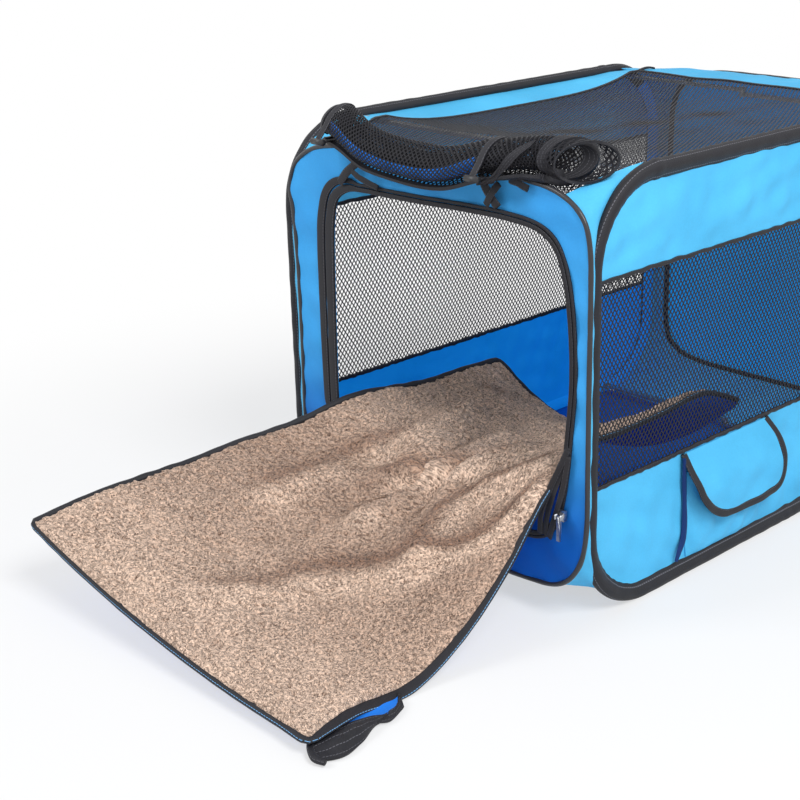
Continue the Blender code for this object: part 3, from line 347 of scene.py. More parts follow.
# ---- Ring bindings ----
# Each side has a steel tube bent into a rounded rectangle and sleeved in charcoal webbing.
# The webbing is folded round the tube and stitched just inside it, and its ends lap at a seam.
RING_X, RING_HALF_Y, RING_HALF_Z, RING_MIDDLE_Z, RING_ARC = 0.2518, 0.3718, 0.2568, 0.265, 0.1018
SLEEVE_OUT, SLEEVE_IN, SLEEVE_ACROSS, GROUND_CLEARANCE = 0.0095, 0.0130, 0.0088, 0.0002
# Where the sleeve's ends lap, as (place along the crate, 1 for the top rail or -1 for the bottom one)
SEAM_PLACES = {"right": ((-0.277, 1), (0.03, -1)), "left": ((0.24, 1), (-0.1, -1))}
SIDES = (("left", -1), ("right", 1))
SEAM_START, SEAM_HALF, SEAM_RISE = 0.006, 0.0065, 0.09
SLEEVE_THIN, SLEEVE_UNEVEN, GATHER, GATHER_PITCH = 0.62, 0.035, 0.03, 0.016
# The sleeve's stitch rows near its outer and inner edges are paler and wider than thread: partly stitches, partly a
# painted highlight along those edges
CHARCOAL, SLEEVE_THREAD_AND_HIGHLIGHT, RIB = (0.014, 0.014, 0.018), (0.13, 0.13, 0.15), 0.0016
STITCH_PITCH, STITCH_SHARE, WORN_DARK, WORN_PALE = 0.0042, 0.72, 0.5, 1.7
SLEEVE_STITCH_AND_HIGHLIGHT_ROWS = ((0.36, 0.010), (0.64, 0.010), (0.10, 0.008), (0.90, 0.008))
FULL_TURN = 2 * np.pi


def rounded_path(half_a, half_b, corners, spacing):
    """Points (a, b) and outward normals round a rounded rectangle, evenly spaced along it.

    Each side is straight and each corner is a quarter circle with its own radius, listed from the
    corner at +a +b on through -a +b, -a -b and +a -b.
    """
    points, normals = [], []
    signs = ((1, 1), (-1, 1), (-1, -1), (1, -1))
    for k, (sa, sb) in enumerate(signs):
        r = corners[k]
        angle = np.pi / 2 * (k + np.arange(0, 1.0001, 1 / max(4, round(r * np.pi / 2 / spacing))))
        out = np.stack([np.cos(angle), np.sin(angle)], -1)
        points.append(np.array([sa * (half_a - r), sb * (half_b - r)]) + r * out)
        normals.append(out)
        (na, nb), nr = signs[(k + 1) % 4], corners[(k + 1) % 4]
        end = np.array([na * (half_a - nr), nb * (half_b - nr)]) + nr * out[-1]
        count = max(2, round(float(np.linalg.norm(end - points[-1][-1])) / spacing))
        share = np.arange(1, count)[:, None] / count
        points.append(blended(points[-1][-1], end, share))
        normals.append(np.repeat(out[-1:], count - 1, 0))
    return np.concatenate(points), np.concatenate(normals)


def lengths(points):
    """Distance along a run of points, from its first one."""
    steps = np.linalg.norm(np.diff(points, axis=0), axis=1)
    return np.concatenate([[0.0], np.cumsum(steps)])


def closing(points):
    """A loop of points, with its first one again at its end."""
    return np.concatenate([points, points[:1]])


def joined(*columns):
    """Arrays that broadcast to one shape, as the columns of points."""
    return np.stack(np.broadcast_arrays(*columns), -1)


def blended(first, last, share):
    """Straight from first, where share is 0, to last, where it is 1."""
    return first * (1 - share) + last * share


def unit(vectors):
    """The vectors, brought to length 1."""
    return vectors / (np.linalg.norm(vectors, axis=-1, keepdims=True) + 1e-12)


def ripples(u, v, seed, waves, height):
    """A sum of cosine waves of seeded directions; waves lists (length, count), and height is its size."""
    rng = np.random.default_rng(seed)
    total = np.zeros(np.broadcast(u, v).shape)
    for length, count in waves:
        for turn, phase in zip(rng.uniform(0, np.pi, count), rng.uniform(0, FULL_TURN, count)):
            total += np.cos(FULL_TURN * (u * np.cos(turn) + v * np.sin(turn)) / length + phase) / count**0.5
    return total * height / len(waves)


def finish_mesh(name, points, faces, uv, finish, smooth=True):
    """An object from points, quads and a place (u, v) in metres for each point."""
    mesh = bpy.data.meshes.new(name)
    mesh.from_pydata(points.reshape(-1, 3).tolist(), [], np.asarray(faces).tolist())
    layer = mesh.uv_layers.new(name="UVMap")
    corner = np.zeros(len(mesh.loops), np.int32)
    mesh.loops.foreach_get("vertex_index", corner)
    layer.data.foreach_set("uv", uv.reshape(-1, 2)[corner].astype(np.float32).ravel())
    if smooth:
        mesh.shade_smooth()
        mesh.set_sharp_from_angle(angle=math.radians(50))
    mesh.materials.append(finish)
    return placed(name, mesh)


def grid_faces(rows, columns, loop_rows, loop_columns):
    """Quads of a grid of points, closed over its last row or column where asked."""
    i = np.arange(rows - (not loop_rows))[:, None]
    j = np.arange(columns - (not loop_columns))[None]
    a = i * columns + j
    b = i * columns + (j + 1) % columns
    c = (i + 1) % rows * columns + (j + 1) % columns
    d = (i + 1) % rows * columns + j
    return joined(a, b, c, d).reshape(-1, 4)


def mend(obj, fill=False):
    """Fills a mesh's open ends where asked, and turns its faces outwards."""
    shape = bmesh.new()
    shape.from_mesh(obj.data)
    if fill:
        bmesh.ops.holes_fill(shape, edges=[edge for edge in shape.edges if edge.is_boundary])
    bmesh.ops.recalc_face_normals(shape, faces=shape.faces)
    shape.to_mesh(obj.data)
    shape.free()
    return obj


def oval(sides, half_a, half_b, power_a=1.0, power_b=1.0):
    """A section (a, b): a = half_a * |cos|^power_a and b = half_b * |sin|^power_b, with the signs kept."""
    turn = np.linspace(0, FULL_TURN, sides, endpoint=False)
    cos, sin = np.cos(turn), np.sin(turn)
    return np.stack([
        np.sign(cos) * np.abs(cos) ** power_a * half_a, np.sign(sin) * np.abs(sin) ** power_b * half_b,
    ], -1)


def tube(name, centre, out, side, section, finish, closed=True):
    """A section carried along a path: point = centre + out * a + side * b for each (a, b) of the section.

    section has a row of (a, b) for each point of the path, or one for all. An open tube gets a cap at
    each end. The UV map runs along the path in metres, and round the section from 0 to 1.
    """
    out, side = (np.broadcast_to(np.asarray(axis, float), centre.shape)[:, None] for axis in (out, side))
    points = centre[:, None] + out * section[..., :1] + side * section[..., 1:]
    rows, columns = points.shape[:2]
    uv = joined(lengths(centre)[:, None], np.arange(columns) / columns)
    return mend(finish_mesh(name, points, grid_faces(rows, columns, closed, True), uv, finish), not closed)


def webbing(name, colour, rib=RIB, thread_and_highlight_colour=None, thread_and_highlight_rows=(), coat=0.0):
    """Ribbed tape: ribs across its length as bump, worn paler along the ridges, with rows of stitches, which on the
    ring's webbing are also a painted highlight along its edges.

    Its UV map runs along the tape in metres and across it from 0 to 1. Each row is (place, width).
    """
    made, tree, shader = material(name, 0.55, 0.3, coat=coat)
    along, across, _ = tree.node("UVMap", "UV").parts()
    cloud = tree.noise(26.0, 5.0, Vector=tree.node("TexCoord", "Object"), Roughness=0.6)
    tone = tree.mix(cloud, [WORN_DARK * c for c in colour], [WORN_PALE * c for c in colour])
    height = tree.maths("SINE", along * (FULL_TURN / rib)) * 0.35 + cloud * 1.2
    if thread_and_highlight_rows:
        dash = tree.maths("LESS_THAN", tree.maths("FRACT", along / STITCH_PITCH), STITCH_SHARE)
        near = [tree.maths("LESS_THAN", tree.maths("ABSOLUTE", across - spot), width)
                for spot, width in thread_and_highlight_rows]
        mask = sum(near[1:], near[0])
        tone = tree.mix(mask * dash, tone, thread_and_highlight_colour)
        height = height - mask * 1.6 + mask * dash * 2.4
    tone.to(shader, "Base Color")
    (cloud * 0.3 + 0.42).to(shader, "Roughness")
    height.bump(shader, 0.55, 0.0005)
    return made


def settle(piece, body, slot, *replaced):
    """Puts a piece on its body, with its slot of the record and the nodes that it stands for."""
    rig.ride(piece, body)
    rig.slot(piece, slot)
    if replaced:
        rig.replaces(piece, *replaced)


ring_webbing = webbing("ring_webbing", CHARCOAL, RIB, SLEEVE_THREAD_AND_HIGHLIGHT, SLEEVE_STITCH_AND_HIGHLIGHT_ROWS)
ring_path, ring_out = rounded_path(RING_HALF_Y, RING_HALF_Z, (RING_ARC,) * 4, 0.004)
for side_name, side in SIDES:
    turn = np.linspace(0, FULL_TURN, 28, endpoint=False)
    inward = np.clip(-np.cos(turn), 0, 1)
    a = np.where(np.cos(turn) > 0, SLEEVE_OUT, SLEEVE_IN if side > 0 else SLEEVE_OUT) * np.cos(turn)
    b = SLEEVE_ACROSS * np.sin(turn) * (1 - SLEEVE_THIN * inward**1.4)
    along = lengths(closing(ring_path))[:-1]
    # The sleeve is uneven, gathers inside the corners and is thicker where its ends lap
    bend = np.abs(ring_out[:, 0] * ring_out[:, 1]) * 2
    swell = 1 + ripples(along[:, None], turn[None] * 0.01, 3 + side, ((0.11, 3), (0.03, 3)), SLEEVE_UNEVEN)
    swell += GATHER * bend[:, None] * np.cos(FULL_TURN * along / GATHER_PITCH)[:, None] * inward[None]
    for y, level in SEAM_PLACES[side_name]:
        beyond = np.where(np.sign(ring_out[:, 1]) == level, ring_path[:, 0] - y, 1.0)
        swell += SEAM_RISE * np.exp(-((beyond - SEAM_START) / SEAM_HALF)[:, None] ** 8)
    section = np.stack([a * swell, b * swell], -1)
    centre = joined(side * RING_X, ring_path[:, 0], RING_MIDDLE_Z + ring_path[:, 1])
    out = joined(0.0, ring_out[:, 0], ring_out[:, 1])
    # It lies flat on the ground under the bottom rail
    room = np.where(out[:, 2] < -0.3, (centre[:, 2] - GROUND_CLEARANCE) / np.maximum(-out[:, 2], 0.3), 1.0)
    section[..., 0] = np.minimum(section[..., 0], room[:, None])
    sleeve = tube(f"{side_name}_ring_sleeve", centre, out, (side, 0, 0), section, ring_webbing)
    settle(sleeve, f"{side_name}_side", "black_binding", f"{side_name}_edge_binding")


# ---- Side walls ----
# Woven polyester above and below each window, doubled over and sewn into the ring's sleeve.
# The cloth hangs in shallow dents, and also covers the inner side of the sleeve.
# The inside's blue is the side's blue painted deeper, as shade on the inside
SIDE_BLUE, INSIDE_SHADE_BLUE = (0.090, 0.535, 0.92), (0.004, 0.32, 0.98)
# Painted shade: cloth given a shade colour darkens to it between the first height and the second
THREAD, PAINTED_SHADE_HIGH, PAINTED_SHADE_LOW = 0.0013, 0.27, 0.09
WINDOW_LOW, WINDOW_HIGH = 0.165, 0.412
CLOTH_THICKNESS, WALL_PUFF, WALL_DENTS = 0.0012, 0.0028, 0.0034
COVER_RADIUS, COVER_THICKNESS, COVER_DROP, LOWEST = 0.0112, 0.0008, 0.022, 0.0012


def cloth(name, colour, depth, shade_colour=None, glow=0.0):
    """Plain woven polyester: a fine over-and-under weave as bump, and a slightly uneven dye.

    Where a shade colour is given, the colour darkens to it below the door's sill: a painted shade. Thin cloth is given
    a painted glow, an emission that stands in for daylight passing through it.
    """
    made, tree, shader = material(name, 0.62, 0.2)
    ways = tree.node("UVMap", "UV").parts()[:2]
    warp, weft = (tree.maths("SINE", way * (FULL_TURN / THREAD)) for way in ways)
    spot = tree.node("TexCoord", "Object")
    dye = tree.noise(9.0, 3.0, Vector=spot, Roughness=0.55)
    grain = tree.noise(420.0, Vector=spot)
    pale, deep = [min(1.0, 1.1 * c + 0.012) for c in colour], [c * (1 - depth) for c in colour]
    tone = tree.mix((dye - 0.3) * 1.6 + (grain - 0.5) * 0.5, deep, pale)
    # Painted shade: darker towards the bottom
    if shade_colour:
        tone = tree.mix(spot.parts()[2].smooth(PAINTED_SHADE_HIGH, PAINTED_SHADE_LOW), tone, shade_colour)
    tone.to(shader, "Base Color")
    # Painted light: the cloth glows by the given amount
    shader.inputs["Emission Color"].default_value = (*colour, 1.0)
    shader.inputs["Emission Strength"].default_value = glow
    (grain * 0.2 + 0.52).to(shader, "Roughness")
    (warp * weft * 0.5 + grain * 0.6).bump(shader, 0.35, 0.0003)
    return made


def walls(pairs, count):
    """Quads between the edges of one layer of points and the same edges of the next, count further on."""
    return np.concatenate([pairs, pairs[:, ::-1] + count], 1)


def doubled_faces(rows, columns, loop_rows=False):
    """Faces of a grid of points, of the same grid under it, and of the rim between the two."""
    i, j, count = np.arange(rows), np.arange(columns), rows * columns
    top = grid_faces(rows, columns, loop_rows, False)
    if loop_rows:
        rings = [i * columns, (i + 1) * columns - 1]
    else:
        rings = [np.concatenate([
            j, (i[1:] + 1) * columns - 1, (rows - 1) * columns + j[-2::-1], i[-2:0:-1] * columns,
        ])]
    pairs = np.concatenate([np.stack([ring, np.roll(ring, -1)], -1) for ring in rings])
    return np.concatenate([top, top[:, ::-1] + count, walls(pairs, count)])


def slab(name, middle, thickness, uv, finish, loop_rows=False):
    """A sheet with a thickness: the grid of points moved both ways along its normals, its edges closed."""
    along = np.roll(middle, -1, 0) - np.roll(middle, 1, 0) if loop_rows else np.gradient(middle, axis=0)
    half = unit(np.cross(along, np.gradient(middle, axis=1))) * thickness / 2
    uv = np.broadcast_to(uv, (2, *middle.shape[:2], 2))
    faces = doubled_faces(*middle.shape[:2], loop_rows)
    return mend(finish_mesh(name, np.stack([middle + half, middle - half]), faces, uv, finish))


def cut(middle):
    """The size that a sheet was cut to, from its grid: its longest column and row, and its area."""
    run, across = (float(np.linalg.norm(np.diff(middle, axis=k), axis=-1).sum(k).max()) for k in (0, 1))
    one, other = middle[1:, 1:] - middle[:-1, :-1], middle[1:, :-1] - middle[:-1, 1:]
    area = np.linalg.norm(np.cross(one, other), axis=-1).sum() / 2
    return {"flat": (run, across), "area": float(area)}


def face_outside(piece, axis, side, finish):
    """Another material on the faces that look out of the crate, along an axis and to one side of it."""
    piece.data.materials.append(finish)
    normals = np.empty(3 * len(piece.data.polygons))
    piece.data.polygons.foreach_get("normal", normals)
    outer = side * normals.reshape(-1, 3)[:, axis] > 0.3
    piece.data.polygons.foreach_set("material_index", outer.astype(np.int32))


def ring_height(y, level):
    """Height of the ring's tube at a place along the crate: its top for level 1, its bottom for -1."""
    past = np.clip(np.abs(y) - (RING_HALF_Y - RING_ARC), 0, RING_ARC)
    return RING_MIDDLE_Z + level * (RING_HALF_Z - RING_ARC + np.sqrt(RING_ARC**2 - past**2))


side_cloth = cloth("side_cloth", SIDE_BLUE, 0.16)
# Painted shade and light: the inside cloth is painted a deeper blue for shade, and glows as a stand-in for daylight
# through it
inner_cloth = cloth("inner_cloth", INSIDE_SHADE_BLUE, 0.25, glow=0.20)
for side_name, side in SIDES:
    for half_name, level, edge in (("upper", 1, WINDOW_HIGH), ("lower", -1, WINDOW_LOW)):
        y = np.sin(np.linspace(-np.pi / 2, np.pi / 2, 190))[:, None] * RING_HALF_Y
        share = np.linspace(0, 1, 40)
        z = edge + (ring_height(y, level) - edge) * share
        swell = 4 * share * (1 - share) * (1 - (y / RING_HALF_Y) ** 4)
        dents = ripples(y, z, 11 + level + 5 * side, ((0.19, 3), (0.085, 4), (0.04, 4)), WALL_DENTS)
        x = side * (RING_X + WALL_PUFF * swell + dents * np.minimum(1, 6 * share * (1 - share)))
        grid = joined(x, y, z)
        # The low band on the left is seen from inside: there it takes the inside cloth, painted deeper for shade and
        # with a painted glow that stands in for daylight coming through it
        lit = side < 0 and level < 0
        finish = inner_cloth if lit else side_cloth
        wall = slab(f"{side_name}_{half_name}_wall", grid, CLOTH_THICKNESS, grid[..., 1:], finish)
        if lit:
            face_outside(wall, 0, side, side_cloth)
        slot = "pale_blue_fabric" if level > 0 else "blue_fabric"
        settle(wall, f"{side_name}_side", slot, f"{side_name}_{half_name}_band")
        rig.sheet(wall, held="stretched", **cut(grid))

# The cover starts and ends below the roof's edge, so the path is turned to begin past the top
first = (int(np.argmax(ring_path[:, 1])) + 1) % len(ring_path)
path, out = np.roll(ring_path, -first, 0), np.roll(ring_out, -first, 0)
below = path[:, 1] < RING_HALF_Z - COVER_DROP
path, out = path[below], out[below]
turn = np.linspace(0.40, 0.92, 8) * np.pi
for side_name, side in SIDES:
    a, b = COVER_RADIUS * np.cos(turn), -side * COVER_RADIUS * np.sin(turn)
    height = np.maximum(RING_MIDDLE_Z + path[:, 1:] + out[:, 1:] * a, LOWEST)
    middle = joined(side * RING_X + b, path[:, :1] + out[:, :1] * a, height)
    uv = joined(lengths(path)[:, None], turn * COVER_RADIUS)
    # The cover takes the inside cloth, with its painted shade and painted glow
    cover = slab(f"{side_name}_ring_cover", middle, COVER_THICKNESS, uv, inner_cloth)
    settle(cover, f"{side_name}_side", "blue_fabric")


# ---- Side windows ----
# Black knitted polyester net, with staggered holes, sewn behind a black tape that gathers a little.
NET_PITCH, NET_HOLE, NET_WIRE, NET_BOW, NET_BEHIND = (0.0068, 0.0048), 0.74, 0.0005, 0.003, 0.0012
NET_DARK, NET_PALE = (0.0072, 0.0072, 0.009), (0.0228, 0.0228, 0.0285)
TAPE_WIDTH, TAPE_THICK = 0.0055, 0.0042


def arch(share):
    """0 at both ends and 1 in the middle: sin(pi * share)."""
    return np.sin(np.pi * np.clip(share, 0, 1))


def knit(name, surface, size_u, size_v, pitch=NET_PITCH, hole=NET_HOLE, wire=NET_WIRE, held="stretched"):
    """A net over surface(u, v), for u and v in metres: diamond cells in staggered rows, each with a hole.

    Cell centres lie at ((i + 0.5 * (j % 2)) * pitch, j * pitch). The corners of a cell are shared with
    its neighbours, and the hole's corners lie at a share of the way out to them. The sheet's area is the
    yarn's alone: the diamonds, of a pitch times twice a pitch over two each, without their holes.
    """
    columns, rows = round(size_u / pitch[0]), round(size_v / pitch[1])
    step_u, step_v = size_u / columns, size_v / rows
    i, j = np.meshgrid(np.arange(columns), np.arange(1, rows), indexing="ij")
    whole = (j % 2 == 1) | (i > 0)
    i, j = i[whole], j[whole]
    cell = np.stack([2 * i + j % 2, j], -1)
    corners = cell[:, None] + np.array([[1, 0], [0, 1], [-1, 0], [0, -1]])
    keys, index = np.unique(corners.reshape(-1, 2), axis=0, return_inverse=True)
    inner = cell[:, None] + hole * (corners - cell[:, None])
    flat = np.concatenate([keys, inner.reshape(-1, 2)]) * np.array([step_u / 2, step_v])
    count, index = len(flat), index.reshape(-1, 4)
    inset = len(keys) + np.arange(len(cell) * 4).reshape(-1, 4)

    def around(*rings):
        """Faces or edges from rings of four numbers each, taken corner by corner."""
        return np.stack(rings, -1).swapaxes(0, 1).reshape(-1, len(rings))

    after, inset_after = np.roll(index, -1, 1), np.roll(inset, -1, 1)
    top = around(index, after, inset_after, inset)
    rims = around(index, after)
    _, first, uses = np.unique(np.sort(rims, 1), axis=0, return_index=True, return_counts=True)
    edges = np.concatenate([around(inset, inset_after), rims[first[uses == 1]][:, ::-1]])
    faces = np.concatenate([top, top[:, ::-1] + count, walls(edges, count)])
    u, v = flat.T
    small = 0.0005
    along = surface(u + small, v) - surface(u - small, v)
    half = unit(np.cross(along, surface(u, v + small) - surface(u, v - small))) * wire / 2
    points = np.concatenate([surface(u, v) + half, surface(u, v) - half])
    net = finish_mesh(name, points, faces, np.concatenate([flat, flat]), net_yarn, smooth=False)
    area = float(len(cell) * step_u * step_v * (1 - hole**2))
    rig.sheet(net, flat=(size_u, size_v), held=held, area=area)
    return net


net_yarn, tree, shader = material("net_yarn", 0.5, 0.15)
dust = tree.noise(300.0, Vector=tree.node("TexCoord", "Object"))
tree.mix(dust, NET_DARK, NET_PALE).to(shader, "Base Color")
(dust * 0.3 + 0.35).to(shader, "Roughness")
window_tall = WINDOW_HIGH - WINDOW_LOW
for side_name, side in SIDES:
    def billow(u, v, side=side):
        """The window at u along it and v up it: it bows in by NET_BOW * arch(u) * arch(v)."""
        y, z = u - RING_HALF_Y, WINDOW_LOW + v
        bow = NET_BOW * arch(u / (2 * RING_HALF_Y)) * arch(v / window_tall)
        return joined(side * (RING_X - NET_BEHIND - bow + ripples(y, z, 31, ((0.2, 3),), 0.0012)), y, z)

    window = knit(f"{side_name}_window_net", billow, 2 * RING_HALF_Y, window_tall)
    settle(window, f"{side_name}_side", "black_net", f"{side_name}_window_mesh")
    for edge_name, z, lean in (("top", WINDOW_HIGH, -1), ("bottom", WINDOW_LOW, 1)):
        y = np.linspace(-RING_HALF_Y, RING_HALF_Y, 260)
        pucker = ripples(y, 0, 41 + lean, ((0.03, 3), (0.012, 3)), 0.0007)
        centre = joined(side * RING_X, y, z + lean * TAPE_WIDTH * 0.3 + pucker)
        change = 1 + ripples(y, 0, 47, ((0.02, 3),), 0.1)
        section = oval(12, TAPE_WIDTH / 2, TAPE_THICK / 2, 1.0, 0.5) * change[:, None, None]
        name = f"{side_name}_window_tape_{edge_name}"
        tape = tube(name, centre, (0, 0, 1), (side, 0, 0), section, ring_webbing, closed=False)
        settle(tape, f"{side_name}_side", "black_binding")


# ---- Front and rear outlines ----
# Each end is a cloth panel on a shiny piped cord, which stands a little ahead of the rings.
# The front's outline is soft: its cord bows out at the top corners and to the right.
FACE_Y, GUSSET_Y, AROUND = 0.392, 0.3890, 280
SEAM_MIDDLE, SEAM_SHARE, SEAM_BACK = 0.28, 0.99, 0.0035
PIPING_HALF, PIPING_BLACK, PIPING_RIB = 0.0030, (0.016, 0.016, 0.020), 0.0022
CRUSH = dict(joint="fold", axis=(1, 0, 0), anchor=(-RING_X, 0, 0), keep=0.1)
# Control points (x, z) clockwise from the middle of the top, and the door's edge point for each
FRONT_OUTLINE = (
    (0.010, 0.518), (0.090, 0.5185), (0.160, 0.5175), (0.215, 0.510), (0.249, 0.490), (0.262, 0.458),
    (0.2645, 0.400), (0.2645, 0.300), (0.2650, 0.200), (0.2645, 0.125), (0.253, 0.078), (0.222, 0.048),
    (0.160, 0.040), (0.090, 0.039), (0.010, 0.039), (-0.080, 0.040), (-0.150, 0.042), (-0.200, 0.054),
    (-0.221, 0.085), (-0.223, 0.150), (-0.2215, 0.250), (-0.222, 0.350), (-0.226, 0.420), (-0.231, 0.452),
    (-0.217, 0.484), (-0.180, 0.507), (-0.120, 0.517), (-0.060, 0.518),
)
DOOR_OUTLINE = (
    (0.015, 0.468), (0.085, 0.470), (0.145, 0.470), (0.190, 0.465), (0.215, 0.449), (0.229, 0.418),
    (0.2375, 0.370), (0.2410, 0.305), (0.2355, 0.235), (0.2280, 0.170), (0.2150, 0.126), (0.1920, 0.107),
    (0.140, 0.102), (0.075, 0.101), (0.010, 0.101), (-0.060, 0.101), (-0.105, 0.102), (-0.137, 0.108),
    (-0.150, 0.130), (-0.153, 0.175), (-0.1530, 0.250), (-0.151, 0.335), (-0.149, 0.395), (-0.146, 0.425),
    (-0.138, 0.450), (-0.116, 0.464), (-0.085, 0.467), (-0.045, 0.467),
)
REAR_OUTLINE = (
    (0.010, 0.517), (0.095, 0.517), (0.165, 0.515), (0.215, 0.500), (0.240, 0.465), (0.2455, 0.400),
    (0.2455, 0.300), (0.2455, 0.180), (0.240, 0.095), (0.215, 0.058), (0.165, 0.043), (0.095, 0.041),
    (0.010, 0.041), (-0.080, 0.041), (-0.150, 0.043), (-0.197, 0.055), (-0.221, 0.090), (-0.224, 0.180),
    (-0.224, 0.300), (-0.226, 0.400), (-0.222, 0.465), (-0.197, 0.501), (-0.145, 0.515), (-0.070, 0.517),
)


def table_curve(table, share, closed=False):
    """A smooth curve through the table's rows, at shares of its length: Catmull-Rom cubics."""
    table = np.asarray(table, float)
    spans = len(table) - (not closed)
    at = np.clip(share, 0, 1) * spans
    k = np.minimum(at.astype(int), spans - 1)
    t = (at - k)[..., None]
    rows = ((k + step) % len(table) if closed else np.clip(k + step, 0, spans) for step in (-1, 0, 1, 2))
    a, b, c, d = (table[row] for row in rows)
    return b + 0.5 * t * (c - a + t * (2 * a - 5 * b + 4 * c - d + t * (3 * (b - c) + d - a)))


def between(at, along, points):
    """The points at the places at, straight between those at the places along."""
    return np.stack([np.interp(at, along, column) for column in np.asarray(points, float).T], -1)


def resample(points, count):
    """Evenly spaced points along an open run of points."""
    along = lengths(points)
    return between(np.linspace(0, along[-1], count), along, points)


def shell(piece, slot, *replaced, body="left_side"):
    """A soft piece that crumples to the left ring as the crate folds."""
    settle(piece, body, slot, *replaced)
    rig.squash(piece, **CRUSH)


def frames(path, aside, closed=True):
    """Outward directions along a path: square to its run and to the direction aside."""
    run = np.roll(path, -1, 0) - np.roll(path, 1, 0) if closed else np.gradient(path, axis=0)
    return unit(np.cross(run, aside))


def band(
    name, path, half_out, half_side, aside, seed, power=0.6, sides=10, finish=ring_webbing, closed=False,
):
    """A rounded cord or flat tape along a path, a little uneven, with an oval section."""
    change = 1 + ripples(lengths(path), 0, 60 + seed, ((0.05, 3), (0.015, 2)), 0.06)
    section = oval(sides, half_out, half_side, power, power) * change[:, None, None]
    return tube(name, path, frames(path, aside, closed), aside, section, finish, closed)


around = np.arange(AROUND) / AROUND
front_edge, door_edge, rear_edge = (
    table_curve(table, around, True) for table in (FRONT_OUTLINE, DOOR_OUTLINE, REAR_OUTLINE))
piping = webbing("piping_cord", PIPING_BLACK, PIPING_RIB, coat=0.6)
for end, edge, facing in (("front", front_edge, -1), ("rear", rear_edge, 1)):
    path = joined(edge[:, 0], facing * FACE_Y, edge[:, 1])
    cord = band(f"{end}_piping_cord", path, PIPING_HALF, PIPING_HALF, (0, 1, 0), 3, 1.0, 12, piping, True)
    shell(cord, "black_piping", f"{end}_piping")
seam_z = SEAM_MIDDLE + (rear_edge[:, 1] - SEAM_MIDDLE) * SEAM_SHARE
seam = joined(rear_edge[:, 0] * SEAM_SHARE, FACE_Y - SEAM_BACK, seam_z)
shell(band("rear_seam_tape", seam, 0.0050, 0.0014, (0, 1, 0), 4, closed=True), "black_binding")


# ---- Front and rear panels ----
# The front panel is blue polyester round the door, eased on to the piping and slightly puckered there; below the door's
# sill its colour darkens as painted shade.
# The rear panel is one piece of the same cloth, with a painted glow on its inside that stands in for daylight coming
# through it.
# The second blue is the painted shade that the front cloth darkens to low down
FRONT_BLUE, PAINTED_SHADE_BLUE, REAR_BLUE = (0.052, 0.43, 1.0), (0.002, 0.125, 0.55), (0.012, 0.42, 1.0)
PUCKER, PUCKER_WAVES, PUCKER_REACH = 0.0008, 44, 0.16
FRONT_DENTS, REAR_DENTS, REAR_MIDDLE = 0.0024, 0.003, np.array([0.008, 0.28])
front_cloth = cloth("front_cloth", FRONT_BLUE, 0.20, PAINTED_SHADE_BLUE)
share = np.linspace(0, 1, 30)
flat = blended(door_edge[:, None], front_edge[:, None], share[:, None])
edge_run = lengths(closing(front_edge))[:-1]
pucker = PUCKER * np.cos(FULL_TURN * PUCKER_WAVES * edge_run / edge_run[-1])[:, None]
pucker = pucker * np.exp(-(((1 - share) / PUCKER_REACH) ** 2))
dents = ripples(flat[..., 0], flat[..., 1], 71, ((0.13, 3), (0.05, 3)), FRONT_DENTS) * arch(share)
surface = joined(flat[..., 0], -FACE_Y + pucker + dents, flat[..., 1])
front_wall = slab("front_wall", surface, CLOTH_THICKNESS, flat, front_cloth, True)
shell(front_wall, "blue_fabric", "front_panel")
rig.sheet(front_wall, flat=(0.50, 0.49), held="stretched", area=cut(closing(surface))["area"])

share = np.linspace(0.0004, 1, 26)
flat = REAR_MIDDLE + (rear_edge[:, None] - REAR_MIDDLE) * share[:, None]
dents = ripples(flat[..., 0], flat[..., 1], 75, ((0.2, 3), (0.08, 3)), REAR_DENTS) * (1 - share**4)
surface = joined(flat[..., 0], FACE_Y + dents, flat[..., 1])
# Its inside has a painted glow that stands in for daylight coming through it
rear_cloth = cloth("rear_cloth", REAR_BLUE, 0.25, glow=0.26)
rear_wall = slab("rear_wall", surface, CLOTH_THICKNESS, flat, rear_cloth, True)
face_outside(rear_wall, 1, 1, side_cloth)
shell(rear_wall, "blue_fabric", "rear_panel")
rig.sheet(rear_wall, flat=(0.48, 0.48), held="stretched", area=cut(closing(surface))["area"])


# ---- Gussets ----
# A strip of pale blue cloth runs from each piped cord back to the rings, and puffs out between its seams.
# Over the front door its top is net, so the cloth starts at the roof net's right edge and ends at its left.
WRAP_HALF, WRAP_RADIUS, WRAP_REACH, SHELL_HALF_X, SHELL_CORNER = 0.2605, 0.1055, 0.3755, 0.2465, 0.012
NET_LEFT, NET_FRONT_RIGHT = -0.200, 0.2268
GUSSET_PUFF, GUSSET_CRUMPLE = 0.0055, 0.0022


def wrap_y(z):
    """How far out the ring's wrap lies at a height: the rounded rectangle's corner is a quarter circle."""
    past = np.clip(np.abs(z - RING_MIDDLE_Z) - (WRAP_HALF - WRAP_RADIUS), 0, WRAP_RADIUS)
    return WRAP_REACH - WRAP_RADIUS + np.sqrt(WRAP_RADIUS**2 - past**2)


def begun(loop, x, low):
    """A loop, turned to begin at its point nearest to x, of those above low."""
    return np.roll(loop, -int(np.argmin(np.abs(loop[:, 0] - x) + (loop[:, 1] < low))), 0)


def left_end(loop, low):
    """How many points of a loop lie before the roof net's left edge, for a loop that ends at the top."""
    return len(loop) + 1 - int(np.argmax((loop[::-1, 0] < NET_LEFT) & (loop[::-1, 1] > low)))


